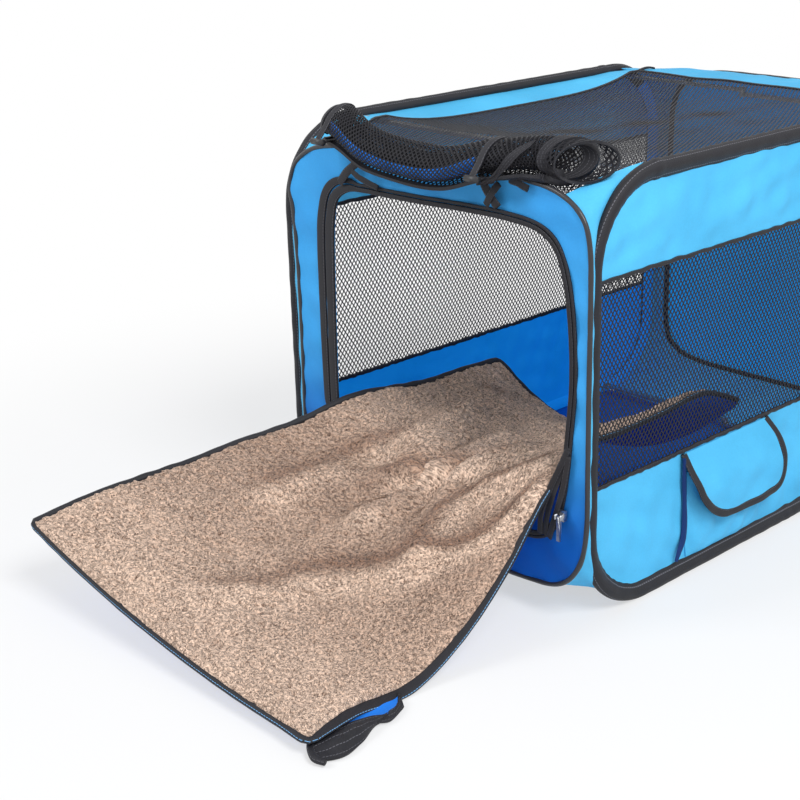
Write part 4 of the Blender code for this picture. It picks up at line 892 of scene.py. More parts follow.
def gusset(end, facing, edge, back, rows, seed, loop_rows=False):
    """Cloth from the piping to the wrap, as straight rows that swell by GUSSET_PUFF * arch and crumple."""
    high = RING_MIDDLE_Z + back[:, 1]
    first = joined(edge[:, 0], facing * GUSSET_Y, edge[:, 1])
    last = joined(back[:, 0], facing * wrap_y(high), high)
    share = np.linspace(0, 1, rows)
    straight = blended(first[:, None], last[:, None], share[:, None])
    outward = unit((straight - np.array([0.0, 0.0, RING_MIDDLE_Z])) * np.array([1.0, 0.0, 1.0]))
    run, depth = lengths(first)[:, None], np.linalg.norm(last - first, axis=-1)[:, None] * share
    crumple = ripples(run, depth * 0.6, seed, ((0.06, 3), (0.03, 4)), GUSSET_CRUMPLE)
    surface = straight + outward * ((GUSSET_PUFF + crumple) * arch(share))[..., None]
    piece = slab(f"{end}_gusset_cloth", surface, CLOTH_THICKNESS, joined(run, depth), side_cloth, loop_rows)
    shell(piece, "pale_blue_fabric", f"{end}_gusset")
    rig.sheet(piece, held="stretched", **cut(closing(surface) if loop_rows else surface))


wrap_loop = rounded_path(SHELL_HALF_X, WRAP_HALF, (SHELL_CORNER,) * 4, 0.003)[0][::-1]
loop = begun(front_edge, 0.0, 0.3)
start = int(np.argmax(loop[:, 0] > NET_FRONT_RIGHT))
back_loop = begun(wrap_loop, SHELL_HALF_X - SHELL_CORNER, 0.2)
gusset("front", -1, resample(loop[start - 1 : left_end(loop, 0.4)], 260),
       resample(back_loop[: left_end(back_loop, 0.2)], 260), 18, 81)
whole = [resample(closing(loop), AROUND + 1)[:-1] for loop in (rear_edge, begun(wrap_loop, 0.01, 0.2))]
gusset("rear", 1, *whole, 16, 85, True)


# ---- Roof net, roof strip and floor ----
# The roof is one net from the piping over the door back to the rear gusset, sewn to the right ring's sleeve.
# On the left a strip of pale cloth joins it to the ring, with a thin black tape over the seam.
ROOF_Z, ROOF_SAG, ROOF_BACK, NET_RIGHT = 0.5257, 0.008, 0.2697, 0.2485
STRIP_DROP, TAB_LENGTH, TAB_RISE, SEAM_DROP, BAR_Y = 0.0055, 0.028, 0.010, 0.0185, 0.250
UPPER_FROM, STRIP_LAP, FLOOR_LAP = 0.44, 0.001, 0.002
ROOF_PITCH, ROOF_HOLE, ROOF_WIRE = (0.0060, 0.0060), 0.70, 0.0004
FLOOR_UP, FLOOR_THICKNESS = 0.0022, 0.002
roof_wide, roof_long = NET_RIGHT - NET_LEFT, GUSSET_Y + ROOF_BACK
upper = front_edge[front_edge[:, 1] > UPPER_FROM]
upper = upper[np.argsort(upper[:, 0])]


def roof(u, v):
    """The net's place at u across it and v along it: level over the rings, and sloping to the piping."""
    front_x = NET_LEFT + u * (NET_FRONT_RIGHT - NET_LEFT) / roof_wide
    y = v - GUSSET_Y
    slope = np.clip((-ROOF_BACK - y) / (GUSSET_Y - ROOF_BACK), 0, 1)
    front_z = np.interp(front_x, upper[:, 0], upper[:, 1])
    x = blended(NET_LEFT + u, front_x, slope)
    across = arch(u / roof_wide)
    sag = across * (ROOF_SAG * arch(v / roof_long) + ripples(x, y, 91, ((0.22, 3), (0.1, 3)), 0.0016))
    low = SEAM_DROP * np.clip(1 - u / roof_wide, 0, 1) ** 1.5 * np.clip(1 - (y / BAR_Y) ** 4, 0, 1)
    return joined(x, y, blended(ROOF_Z, front_z, slope) - sag - low)


roof_net = knit("roof_net", roof, roof_wide, roof_long, ROOF_PITCH, ROOF_HOLE, ROOF_WIRE)
shell(roof_net, "black_net", "roof_mesh")
v, u = np.linspace(0, roof_long, 240), np.linspace(0, roof_wide, 160)
left_seam = roof(0 * v, v)
# The left tape ends in a loose tab behind the roof
tab = np.linspace(0, 1, 20)[1:, None]
tab_end = left_seam[-1] + tab * (0.35, 0.9, 0.0) * TAB_LENGTH + (0.0, 0.0, TAB_RISE) * tab * (1.2 - tab)
for name, path, seed in (
    ("roof_tape_left", np.concatenate([left_seam, tab_end]), 5),
    ("roof_tape_rear", roof(u, 0 * u + roof_long), 6),
):
    shell(band(name, path, 0.0030, 0.0016, (0, 0, 1), seed), "black_binding")

y = np.linspace(-ROOF_BACK, ROOF_BACK, 200)[:, None]
x = np.linspace(-SHELL_HALF_X - FLOOR_LAP, NET_LEFT + STRIP_LAP, 14)
hold = arch((x - x[0]) / (x[-1] - x[0]))
share = (NET_LEFT - x) / (x[-1] - x[0])
z = blended(roof(0 * y, y + GUSSET_Y)[..., 2], ROOF_Z - STRIP_DROP, share)
grid = joined(x, y, z + ripples(x, y, 95, ((0.08, 3), (0.04, 3)), 0.001) * hold)
strip = slab("roof_strip_cloth", grid, CLOTH_THICKNESS, joined(y, x), side_cloth)
shell(strip, "pale_blue_fabric", "roof_strip")
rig.sheet(strip, held="stretched", **cut(grid))

y = np.linspace(-ROOF_BACK - FLOOR_LAP, ROOF_BACK + FLOOR_LAP, 120)[:, None]
x = np.linspace(-SHELL_HALF_X, SHELL_HALF_X, 110)
grid = joined(x, y, FLOOR_UP + np.abs(ripples(x, y, 97, ((0.25, 3), (0.12, 3)), 0.0012)))
# The floor cloth lies below the painted shade's lower height, so it is all in the front cloth's painted shade colour
floor_cloth = slab("floor_cloth", grid, FLOOR_THICKNESS, joined(y, x), front_cloth)
shell(floor_cloth, "blue_fabric", "floor_panel")
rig.sheet(floor_cloth, held="laid", **cut(grid))


# ---- Door edge ----
# The door's opening is bound with charcoal tape: a wide doubled one on the hinge side at the left,
# and a narrow one with the zip's teeth round the rest. The slider hangs low on the right.
EDGE_NARROW, EDGE_WIDER, EDGE_LAP, ZIP_SILVER = 0.0085, 0.0235, 0.002, (0.42, 0.43, 0.46)
HINGE_X, HINGE_Z, HINGE_FADE = -0.10, 0.13, 0.05
# Loose zip tapes: control points (x, forward of the panel, z), from the jamb down to the slider
LOOSE_TAPES = (
    ((0.2375, 0.003, 0.225), (0.232, 0.006, 0.195), (0.222, 0.010, 0.165), (0.2135, 0.010, 0.135),
     (0.206, 0.004, 0.108)),
    ((0.2385, 0.004, 0.222), (0.230, 0.008, 0.198), (0.217, 0.011, 0.168), (0.206, 0.012, 0.138),
     (0.199, 0.005, 0.109)),
    ((0.2405, 0.005, 0.215), (0.2380, 0.009, 0.180), (0.2310, 0.012, 0.150), (0.2210, 0.010, 0.122),
     (0.212, 0.004, 0.106)),
)


def away(out, path):
    """Directions, turned to point away from the middle of their path."""
    return out * np.sign(np.sum(out * (path - path.mean(0)), -1))[:, None]


def evened(values, reach, mode="wrap", **ends):
    """The mean of the values up to reach places to each side."""
    return np.convolve(np.pad(values, reach, mode, **ends), np.ones(2 * reach + 1) / (2 * reach + 1), "valid")


hinge = np.clip((HINGE_X - door_edge[:, 0]) / HINGE_FADE, 0, 1)
hinge = hinge * np.clip((door_edge[:, 1] - HINGE_Z) / HINGE_FADE, 0, 1)
width = EDGE_NARROW + EDGE_WIDER * hinge * (0.72 + 0.28 * np.clip((door_edge[:, 1] - 0.16) / 0.28, 0, 1))
door_path = joined(door_edge[:, 0], -FACE_Y, door_edge[:, 1])
out = away(frames(door_path, (0, 1, 0)), door_path)
change = 1 + ripples(edge_run, 0, 63, ((0.07, 3), (0.02, 2)), 0.08)
for name, low, high, thick, forward, nodes in (
    ("door_binding", -EDGE_LAP, width * 0.46, 0.0042, 0.0026, ["door_zip_tape"]),
    ("door_zip_band", width * 0.54, width, 0.0034, 0.0020, []),
):
    path = door_path + out * ((low + high) / 2)[:, None] - (0.0, forward, 0.0)
    section = oval(14, 1.0, thick / 2, 0.6, 0.6) * np.stack([(high - low) / 2, change], -1)[:, None]
    shell(tube(name, path, out, (0, -1, 0), section, ring_webbing), "black_binding", *nodes)
for number, points in enumerate(LOOSE_TAPES):
    loose = between(np.linspace(0, 1, 60) * (len(points) - 1), np.arange(len(points)), points)
    loose = np.stack([evened(column, 6, "reflect", reflect_type="odd") for column in loose.T], -1)
    loose = loose * (1.0, -1.0, 1.0) - (0.0, FACE_Y, 0.0)
    strand = band(f"door_loose_tape_{number}", loose, 0.0042, 0.0013, (0, 1, 0), 7 + number, 0.7)
    shell(strand, "black_binding")


def solid_copy(node, name, finish):
    """A closed copy of a CAD node's mesh, with its loose triangles merged."""
    shape = bmesh.new()
    shape.from_mesh(frame["nodes"][node].data)
    bmesh.ops.remove_doubles(shape, verts=shape.verts, dist=1e-5)
    mesh = bpy.data.meshes.new(name)
    shape.to_mesh(mesh)
    shape.free()
    mesh.materials.clear()
    mesh.materials.append(finish)
    mesh.set_sharp_from_angle(angle=math.radians(40))
    return placed(name, mesh)


def metal(name, colour, roughness):
    """Bare metal with faint drawn streaks and dull patches."""
    made, tree, shader = material(name, roughness, metallic=1.0)
    dull = tree.noise(160.0, 4.0, Vector=tree.node("TexCoord", "Object"), Roughness=0.6)
    tree.mix(dull, [0.7 * c for c in colour], [1.2 * c for c in colour]).to(shader, "Base Color")
    (dull * roughness * 0.8 + roughness * 0.6).to(shader, "Roughness")
    dull.bump(shader, 0.2, 0.0001)
    return made


silver = metal("zip_silver", ZIP_SILVER, 0.30)
for node, name in (("zip_slider", "slider_shell"), ("zip_pull", "pull_shell")):
    shell(solid_copy(node, name, silver), "zip_metal", node, body=node)


# ---- Rolled door ----
# The door is a blue-bordered net, unzipped and rolled up over the opening. Its bound edges show as a
# sagging tape along the roll and as a spiral at each end, and it is slack between its two ties.
ROLL_LONG, ROLL_SHORT, ROLL_TURNS, ROLL_CORE, ROLL_PHASE = 0.036, 0.026, 2.2, 0.28, -1.85
FACE_MIDDLE, FACE_REACH, FACE_HIGH = 0.005, 0.2405, 0.517
ROLL_LENGTH, SPIRAL_LENGTH, NET_SHARE, NET_INSET = 0.380, 0.300, 0.945, 0.07
ROLL_PITCH, ROLL_HOLE, ROLL_WIRE = (0.0058, 0.0044), 0.66, 0.0006
# The net's last turn hangs off behind the right end as a loop of its own
END_LOOP, END_ROUND, END_SHIFT = 0.020, 0.150, np.array([0.020, 0.006, -0.002])
END_PITCH, END_HOLE = (0.0060, 0.0046), 0.62
MAT_BLUE = (0.012, 0.22, 0.88)
# The bound edges at the roll's two ends, and the door's blue border, which shows through the net: a run
# along the roll and one along its turns, both as (from, to, points), the way out and the thickness
ROLL_EDGES = {
    "binding_left": ((0.0, 0.040, 9), (0.55, 1, 150), -0.085, 0.0045),
    "binding_right": ((0.935, 1.0, 9), (0.50, 1, 150), -0.085, 0.0078),
    "border": ((0.08, 0.70, 90), (0.555, 0.670, 30), -0.13, CLOTH_THICKNESS),
}
# Rows along the roll: its place across the front as a share of FACE_REACH, its middle ahead of and above
# the panel's top in ROLL_LONG, its two axes as shares, its droop in right angles, and how its end slants
ROLL_TABLE = (
    (-0.67, -0.34, 0.68, 0.86, 0.76, 0.28, 0.0), (-0.52, 0.12, 0.745, 0.92, 0.66, 0.45, 0.0),
    (-0.29, 0.52, 0.30, 0.86, 0.58, 0.60, 0.0), (-0.02, 0.66, 0.10, 0.84, 0.56, 0.68, 0.0),
    (0.26, 0.64, 0.13, 0.84, 0.60, 0.62, 0.0), (0.52, 0.40, 0.575, 0.86, 0.76, 0.42, 0.05),
    (0.73, -0.14, 0.76, 0.92, 0.98, 0.20, 0.3), (0.87, -0.62, 0.67, 1.06, 1.06, 0.06, 0.5),
)


def rolled(share, radius, angle):
    """A point of the roll: an ellipse whose long axis droops forward, at a share of the roll's length."""
    along, forward, above, long_share, short_share, droop, slant = np.moveaxis(
        table_curve(ROLL_TABLE, share), -1, 0)
    a = radius * long_share * ROLL_LONG * np.cos(angle)
    b = radius * short_share * ROLL_SHORT * np.sin(angle)
    cos, sin = np.cos(droop * np.pi / 2), np.sin(droop * np.pi / 2)
    ahead = a * cos + b * sin
    return joined(
        FACE_MIDDLE + along * FACE_REACH - slant * ahead,
        -FACE_Y - forward * ROLL_LONG - ahead,
        FACE_HIGH + above * ROLL_LONG + b * cos - a * sin,
    )


def wound(share, turned, offset):
    """A point of the winding: its radius grows evenly with the turns, and is moved out by offset."""
    radius = ROLL_CORE + (1 - ROLL_CORE) * turned + offset
    return rolled(share, radius, FULL_TURN * ROLL_TURNS * turned + ROLL_PHASE)


def roll_net(u, v):
    """The rolled net at u along the roll and v along the spiral, with slack folds."""
    share = np.clip(u / ROLL_LENGTH, 0, 1) * NET_SHARE
    unwound = np.clip(v / SPIRAL_LENGTH, 0, 1)
    turned = (-ROLL_CORE + np.sqrt(ROLL_CORE**2 + unwound * (1 - ROLL_CORE**2))) / (1 - ROLL_CORE)
    slack = ripples(u, v, 101, ((0.09, 3), (0.04, 3)), 0.035) * arch(share) * turned
    return wound(share, turned, slack - NET_INSET)


def end_loop(share, angle):
    """The end's loop: its radius is 0.84 + 0.05 * sin(2 * angle + 1)."""
    return rolled(share, 0.84 + 0.05 * np.sin(2 * angle + 1), angle)


def end_net(u, v):
    """The loop's net, at u along the roll and v round it."""
    drift = 0.55 + 0.45 * np.clip(u / END_LOOP, -0.1, 1.1)
    return end_loop(0.955 + 0.045 * u / END_LOOP, FULL_TURN * v / END_ROUND) + END_SHIFT * drift[..., None]


def ribbon(name, middle, thickness, finish=ring_webbing):
    """A woven band as a grid of points with a thickness, its UV map along it and across it from 0 to 1."""
    along = lengths(middle[:, middle.shape[1] // 2])[:, None]
    return slab(name, middle, thickness, joined(along, np.linspace(0, 1, middle.shape[1])), finish)


shell(knit("door_roll_net", roll_net, ROLL_LENGTH, SPIRAL_LENGTH, ROLL_PITCH, ROLL_HOLE, ROLL_WIRE, "folded"),
      "black_net", "door_roll")
shell(knit("door_roll_end_net", end_net, END_LOOP, END_ROUND, END_PITCH, END_HOLE, ROLL_WIRE, "folded"),
      "black_net")
mat_cloth = cloth("mat_cloth", MAT_BLUE, 0.25)
for name, (shares, turns, offset, thick) in ROLL_EDGES.items():
    middle = wound(np.linspace(*shares), np.linspace(*turns)[:, None], offset)
    blue = name == "border"
    edge = ribbon(f"door_roll_{name}", middle, thick, mat_cloth if blue else ring_webbing)
    shell(edge, "blue_fabric" if blue else "black_binding")
angle = np.linspace(0, FULL_TURN, 90)[:, None]
middle = end_loop(0.985 + 0.015 * np.linspace(0, 1, 5), angle) + END_SHIFT * 0.98
shell(ribbon("door_roll_end_binding", middle, 0.0030), "black_binding")
share, step = np.linspace(0, 1, 220)[:, None], np.linspace(-0.032, 0.010, 7)
lift = ripples(share * ROLL_LENGTH, 0, 103, ((0.1, 3), (0.04, 3)), 0.02)
middle = rolled(share, 0.965 + lift, FULL_TURN * (ROLL_TURNS + step) + ROLL_PHASE)
shell(ribbon("door_roll_binding_edge", middle, 0.0040), "black_binding")


# ---- Ties ----
# Two loops of webbing hold the roll. Each crosses itself at the front and is closed with a toggle.
STRAP_X, STRAP_OFF, STRAP_DRAWN, STRAP_THIN, STRAP_HALF = 0.135, 0.05, 0.007, 0.0009, 0.0050
PLASTIC_DARK, PLASTIC_PALE = (0.012, 0.012, 0.014), (0.030, 0.030, 0.034)
ENDS_AHEAD, ENDS_BOW, ENDS_APART = 0.0065, 0.003, 0.0012
# The straps' loose ends: a half width, and points (x, z) just ahead of the panel
STRAP_ENDS = (
    (0.0055, ((-0.094, 0.502), (-0.112, 0.487), (-0.128, 0.472))),
    (0.0040, ((-0.106, 0.492), (-0.088, 0.485), (-0.058, 0.476))),
    (0.0060, ((0.108, 0.514), (0.122, 0.499), (0.135, 0.482))),
    (0.0046, ((0.138, 0.509), (0.130, 0.498), (0.118, 0.482))),
    (0.0046, ((0.152, 0.516), (0.166, 0.515), (0.180, 0.509))),
)
plastic, tree, shader = material("toggle_plastic", 0.4)
grain = tree.noise(900.0, Vector=tree.node("TexCoord", "Object"))
tree.mix(grain, PLASTIC_DARK, PLASTIC_PALE).to(shader, "Base Color")
grain.bump(shader, 0.25, 0.0002)
ladder = np.linspace(0, 1, 400)
place = FACE_MIDDLE + table_curve(ROLL_TABLE, ladder)[:, 0] * FACE_REACH
angle = np.linspace(0, FULL_TURN, 72, endpoint=False)
last = FULL_TURN * ROLL_TURNS + ROLL_PHASE
turned = (last - (last - angle) % FULL_TURN - ROLL_PHASE) / (FULL_TURN * ROLL_TURNS)
radius = evened(ROLL_CORE + (1 - ROLL_CORE) * turned - NET_INSET + STRAP_OFF, 5)
for name, side in SIDES:
    loop = rolled(np.interp(side * STRAP_X, place, ladder), radius, angle)
    # The toggle draws the loop out to itself
    toggle = solid_copy(f"roll_toggle_{name}", f"toggle_{name}", plastic)
    corners = np.empty(3 * len(toggle.data.vertices))
    toggle.data.vertices.foreach_get("co", corners)
    reach = corners.reshape(-1, 3).mean(0) - loop
    nearest = np.argmin(np.linalg.norm(reach, axis=1))
    from_it = np.linalg.norm(loop - loop[nearest], axis=1)
    loop = loop + reach[nearest] * np.exp(-((from_it / STRAP_DRAWN) ** 2))[:, None]
    section = oval(10, STRAP_THIN, STRAP_HALF, 0.6)
    strap = tube(f"roll_strap_{name}", loop, frames(loop, (1, 0, 0)), (1, 0, 0), section, ring_webbing)
    shell(strap, "black_binding", f"roll_tie_{name}")
    shell(toggle, "black_plastic", f"roll_toggle_{name}")
for number, (half, points) in enumerate(STRAP_ENDS):
    at = np.linspace(0, 2, 30)
    x, z = between(at, np.arange(3), points).T
    path = joined(x, -FACE_Y - ENDS_AHEAD - ENDS_BOW * arch(at / 2) - ENDS_APART * (number % 2), z)
    shell(band(f"strap_end_{number}", path, half, 0.0010, (0, 1, 0), 20 + number), "black_binding")
# From the right crossing the strap's twisted end lies up along the roll to its coil
run, step = np.linspace(0, 1, 60)[:, None], np.linspace(-1, 1, 7)
angle = 5.50 + 1.65 * run**1.1 + step * (0.19 + 0.06 * np.sin(9 * run + 1))
lift = 1.04 + 0.06 * np.sin(11 * run + 2.2 * step) * (1 - run) + 0.05 * arch(run)
shell(ribbon("roll_strap_twist", rolled(0.705 + 0.235 * run, lift, angle), 0.0026), "black_binding")


# ---- Pocket and flap ----
# A flat pouch sewn low on the right side, under a D-shaped flap bound with black tape.
# The flap hangs from the seam under the window and stands away from the wall at its foot.
POCKET_X, POCKET_MIDDLE, POCKET_HALF = 0.2541, -0.1080, 0.0880
POCKET_LOW, POCKET_HIGH, POCKET_DEPTH, FOLD_OUT, FOLD_BOW = 0.022, 0.138, 0.0115, 0.0038, 0.0030
FLAP_TOP, FLAP_FLARE, FLAP_STRAIGHT = 0.163, 0.024, 0.056
SHADOW_BLUE = (0.002, 0.030, 0.145)
# The fold between the pouch's front edge and the wall, in shadow: its front and rear edges as (y, height)
FOLD_ROWS = (
    (-0.2050, 0.1610, -0.2023, 0.1600), (-0.2045, 0.1318, -0.1975, 0.1305),
    (-0.2025, 0.1042, -0.1955, 0.1020), (-0.2015, 0.0766, -0.1918, 0.0740),
    (-0.2035, 0.0531, -0.1930, 0.0492), (-0.2100, 0.0375, -0.2015, 0.0350),
    (-0.2133, 0.0263, -0.2105, 0.0256),
)
# Rows of the flap: height, then its rear and front edges along the crate
FLAP_ROWS = (
    (0.1630, -0.1985, -0.0265), (0.1460, -0.1980, -0.0200), (0.1290, -0.1950, -0.0150),
    (0.1120, -0.1880, -0.0120), (0.0970, -0.1760, -0.0120), (0.0850, -0.1620, -0.0140),
    (0.0760, -0.1470, -0.0200), (0.0715, -0.1340, -0.0300),
)
v, u = np.linspace(0, 1, 60)[:, None], np.linspace(-1, 1, 80)
full = (1 - np.abs(u) ** 3.2) * (0.18 + 0.82 * np.clip(v / 0.22, 0, 1) ** 0.6)
crease = ripples(u * POCKET_HALF, v * 0.11, 111, ((0.07, 3), (0.035, 4)), 0.0030) * np.clip(full * 1.4, 0, 1)
fold = np.sin(9 * (u + 0.9) - 7 * (v - 0.3)) * np.exp(-(((u + 0.62) / 0.30) ** 2))
crease = np.maximum(crease + 0.0018 * fold * np.sin(np.pi * v) ** 0.5, -POCKET_DEPTH * full * 0.8)
y = POCKET_MIDDLE + u * (POCKET_HALF - 0.010 * (1 - v) ** 2)
z = POCKET_LOW + v * (POCKET_HIGH - POCKET_LOW) - 0.004 * v * (1 - u**2)
grid = joined(POCKET_X + POCKET_DEPTH * full + crease, y, z)
pouch = slab("pocket_cloth", grid, CLOTH_THICKNESS, grid[..., 1:], side_cloth)
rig.sheet(pouch, held="stretched", **cut(grid))
settle(pouch, "right_side", "blue_fabric", "pocket_body")

fore_y, fore_z, rear_y, rear_z = table_curve(FOLD_ROWS, np.linspace(0, 1, 40)).T[..., None]
u = np.linspace(0, 1, 9)
fold_x = POCKET_X + FOLD_OUT + FOLD_BOW * arch(u)
fold = joined(fold_x, blended(fore_y, rear_y, u), blended(fore_z, rear_z, u))
shadow_cloth = cloth("shadow_cloth", SHADOW_BLUE, 0.2)
settle(slab("pocket_fold", fold, 0.0010, fold[..., 1:], shadow_cloth), "right_side", "blue_fabric")

v, u = np.linspace(0, 1, 50), np.linspace(0, 1, 70)
height, rear_y, fore_y = table_curve(FLAP_ROWS, v).T[..., None]
y, z = blended(rear_y, fore_y, u), height - 0.002 * arch(u) * v[:, None] ** 3
x = POCKET_X + FLAP_FLARE * np.sin(np.pi / 2 * np.clip((FLAP_TOP - z) / FLAP_STRAIGHT, 0, 1))
x += ripples(y, z, 117, ((0.09, 3), (0.04, 3)), 0.0018) * np.clip((FLAP_TOP - z) / 0.03, 0, 1)
grid = joined(x, y, z)
flap = slab("pocket_flap_cloth", grid, CLOTH_THICKNESS, grid[..., 1:], side_cloth)
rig.sheet(flap, held="hung", **cut(grid))
settle(flap, "pocket_flap", "blue_fabric", "pocket_flap")
rim = resample(np.concatenate([grid[:, 0], grid[-1, 1:-1], grid[::-1, -1]]), 180)
rim_out, section = frames(rim, (1, 0, 0), closed=False), oval(12, 0.0052, 0.0020, 0.6)
flap_tape = tube("pocket_flap_tape", rim, rim_out, (1, 0, 0), section, ring_webbing, closed=False)
settle(flap_tape, "pocket_flap", "black_binding")
frame["nodes"]["pocket_patch"].data.materials.clear()
frame["nodes"]["pocket_patch"].data.materials.append(plastic)


# ---- Fleece mat ----
# A quilt of tan fleece on a blue base, bound in black, drawn half out of the door on to the ground.
# The pile stands in short tufts, and the mat folds where it squeezes through the door.
CRATE_WIDTH, CRATE_LENGTH, CRATE_HEIGHT = 0.52, 0.76, 0.53
MAT_WIDTH, MAT_LENGTH, MAT_RISE, MAT_CORNER = 0.50, 0.78, -0.0009, 0.012
MAT_BASE, MAT_PILE, MAT_CROWN = 0.003, 0.008, 0.004
MAT_WAVE, MAT_FOLDS, MAT_FAN, MAT_DOOR, MAT_FOLD_REACH = 0.006, 9, 0.12, 0.55, 0.28
PILE_INSET, BASE_INSET, EDGE_INSET, PAINTED_FOLD_LIGHT = 0.0035, 0.004, 0.0045, 5.0
TUFT, TUFT_RISE, TUFT_MIDDLE, CELLS, PILE_LEAST = 0.0052, 0.0024, 0.55, 256, 0.002
# The pile's painted shaded and lit colours, each from shadow to light, and its squiggles' scale, sharpness, shift and
# weight
FLEECE_SHADED = ((0.045, 0.024, 0.014), (0.45, 0.268, 0.184))
FLEECE_LIT = ((0.180, 0.100, 0.064), (1.0, 0.735, 0.57))
SQUIGGLES = ((185.0, 9.0, 0.0, 0.85), (330.0, 7.0, 4.0, 0.45))
# The pile's painted light along its length, as (share of the length from the outer end, 1 for painted lit or -1 for
# painted shaded)
PAINTED_LIGHT_ENDS = ((0.0, 1.0), (0.12, 0.75), (0.22, 0.30), (0.42, -0.12), (0.55, 0.15), (0.70, 0.90), (1.0, 1.0))
# Its two edges, from the outer end, as shares of the crate's width, length and height, and its sag
MAT_LEFT = (
    (-0.554, -1.020, 0.178), (-0.522, -0.931, 0.208), (-0.490, -0.841, 0.227), (-0.458, -0.751, 0.243),
    (-0.412, -0.665, 0.272), (-0.338, -0.586, 0.310), (-0.281, -0.514, 0.352), (-0.281, -0.421, 0.341),
    (-0.281, -0.328, 0.324), (-0.281, -0.235, 0.326), (-0.281, -0.141, 0.324),
)
MAT_RIGHT = (
    (0.452, -1.030, 0.028), (0.410, -0.932, 0.017), (0.408, -0.818, 0.0045), (0.411, -0.711, 0.066),
    (0.420, -0.619, 0.175), (0.425, -0.542, 0.298), (0.414, -0.451, 0.377), (0.399, -0.336, 0.367),
    (0.389, -0.220, 0.365), (0.385, -0.105, 0.370), (0.385, 0.000, 0.311),
)
MAT_SAG = np.array([[0.040, 0.046, 0.052, 0.060, 0.078, 0.113, 0.114, 0.105, 0.112, 0.143, 0.180]]).T
# Soft folds in the fleece: height, half width, and points (across, along) from the outer end's middle
FOLD_LINES = (
    (0.0070, 0.026, ((-0.139, 0.285), (-0.137, 0.328), (-0.145, 0.400), (-0.136, 0.438), (-0.118, 0.481),
                     (-0.115, 0.526), (-0.135, 0.592), (-0.172, 0.682))),
    (0.0070, 0.026, ((-0.016, 0.330), (-0.050, 0.374), (-0.058, 0.400), (-0.046, 0.420), (-0.022, 0.434),
                     (0.018, 0.452), (0.055, 0.460), (0.090, 0.475), (0.105, 0.500))),
    (0.0088, 0.023, ((0.112, 0.308), (0.106, 0.334), (0.096, 0.370), (0.095, 0.405), (0.118, 0.425),
                     (0.155, 0.436), (0.205, 0.438))),
    (0.0060, 0.018, ((0.124, 0.296), (0.146, 0.314), (0.183, 0.339), (0.206, 0.358), (0.220, 0.380),
                     (0.235, 0.404))),
    (0.0070, 0.026, ((-0.020, 0.110), (0.008, 0.154), (0.017, 0.192), (0.033, 0.225), (0.072, 0.259),
                     (0.105, 0.273), (0.120, 0.290))),
)


def mat_under(across, along):
    """The mat's underside: straight rows between its two edge curves, sagging and folded towards the door."""
    left, right = table_curve(MAT_LEFT, along), table_curve(MAT_RIGHT, along)
    sag = table_curve(MAT_SAG, along)[..., 0]
    u = ((across + 1) / 2)[..., None]
    place = (left + (right - left) * u) * np.array([CRATE_WIDTH, CRATE_LENGTH, CRATE_HEIGHT])
    bend = 1 - across**2
    spread = np.arctan2(across / 2, MAT_FAN + np.abs(along - MAT_DOOR))
    wave = np.cos(MAT_FOLDS * spread) * bend * np.exp(-(((along - MAT_DOOR) / MAT_FOLD_REACH) ** 2))
    place[..., 2] += MAT_RISE - sag * CRATE_HEIGHT * bend + MAT_WAVE * wave
    return place


def mat_up(across, along):
    """The way up out of the mat: square to its run across and along."""
    small = 1e-3
    du = mat_under(across + small, along) - mat_under(across - small, along)
    low, high = np.clip(along - small, 0, 1), np.clip(along + small, 0, 1)
    return unit(np.cross(du, mat_under(across, high) - mat_under(across, low)))


def mat_grid(rows, columns, inset):
    """Shares (across, along) of a grid over the mat, drawn in at its rounded corners."""
    along = inset / MAT_LENGTH + np.linspace(0, 1, rows)[:, None] * (1 - 2 * inset / MAT_LENGTH)
    radius = MAT_CORNER - inset
    past = np.clip(radius - (np.minimum(along, 1 - along) * MAT_LENGTH - inset), 0, radius)
    drawn = inset + radius - np.sqrt(np.clip(radius**2 - past**2, 0, None))
    across = np.linspace(-1, 1, columns) * (1 - drawn / (MAT_WIDTH / 2))
    return across, along + 0 * across


def ridge(u, v, line, width):
    """exp(-(d / width)^2), where d is the distance to the nearest stretch of a line."""
    nearest = np.full(u.shape, np.inf)
    for (a, b), (c, d) in zip(line, line[1:]):
        share = np.clip(((u - a) * (c - a) + (v - b) * (d - b)) / ((c - a) ** 2 + (d - b) ** 2), 0, 1)
        nearest = np.minimum(nearest, np.hypot(u - a - share * (c - a), v - b - share * (d - b)))
    return np.exp(-((nearest / width) ** 2))


def tufting(u, v):
    """Domes over jittered cells, 1 at a tuft's middle and 0 in the gaps: 1 - d^2 for the nearest centre.

    d is measured in tufts, and each tuft is an oval that is turned its own way.
    """
    rng = np.random.default_rng(5)
    cells = rng.uniform(0, 1, (CELLS, CELLS, 3))
    i, j = np.floor(u / TUFT).astype(int), np.floor(v / TUFT).astype(int)
    best = np.full(u.shape, np.inf)
    for di in (-1, 0, 1):
        for dj in (-1, 0, 1):
            jitter = cells[(i + di) % CELLS, (j + dj) % CELLS]
            du, dv = u / TUFT - i - di - jitter[..., 0], v / TUFT - j - dj - jitter[..., 1]
            cos, sin = np.cos(jitter[..., 2] * np.pi), np.sin(jitter[..., 2] * np.pi)
            best = np.minimum(best, ((du * cos + dv * sin) / 1.3) ** 2 + ((dv * cos - du * sin) / 0.72) ** 2)
    return np.clip(1 - best, 0, 1)


across, along = mat_grid(110, 80, BASE_INSET)
under = mat_under(across, along)
middle = under + mat_up(across, along) * MAT_BASE / 2
base = slab("mat_base_cloth", middle, MAT_BASE, joined(across * MAT_WIDTH / 2, along * MAT_LENGTH), mat_cloth)
shell(base, "blue_fabric", "mat_base", body="mat")
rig.sheet(base, held="laid", **cut(under))

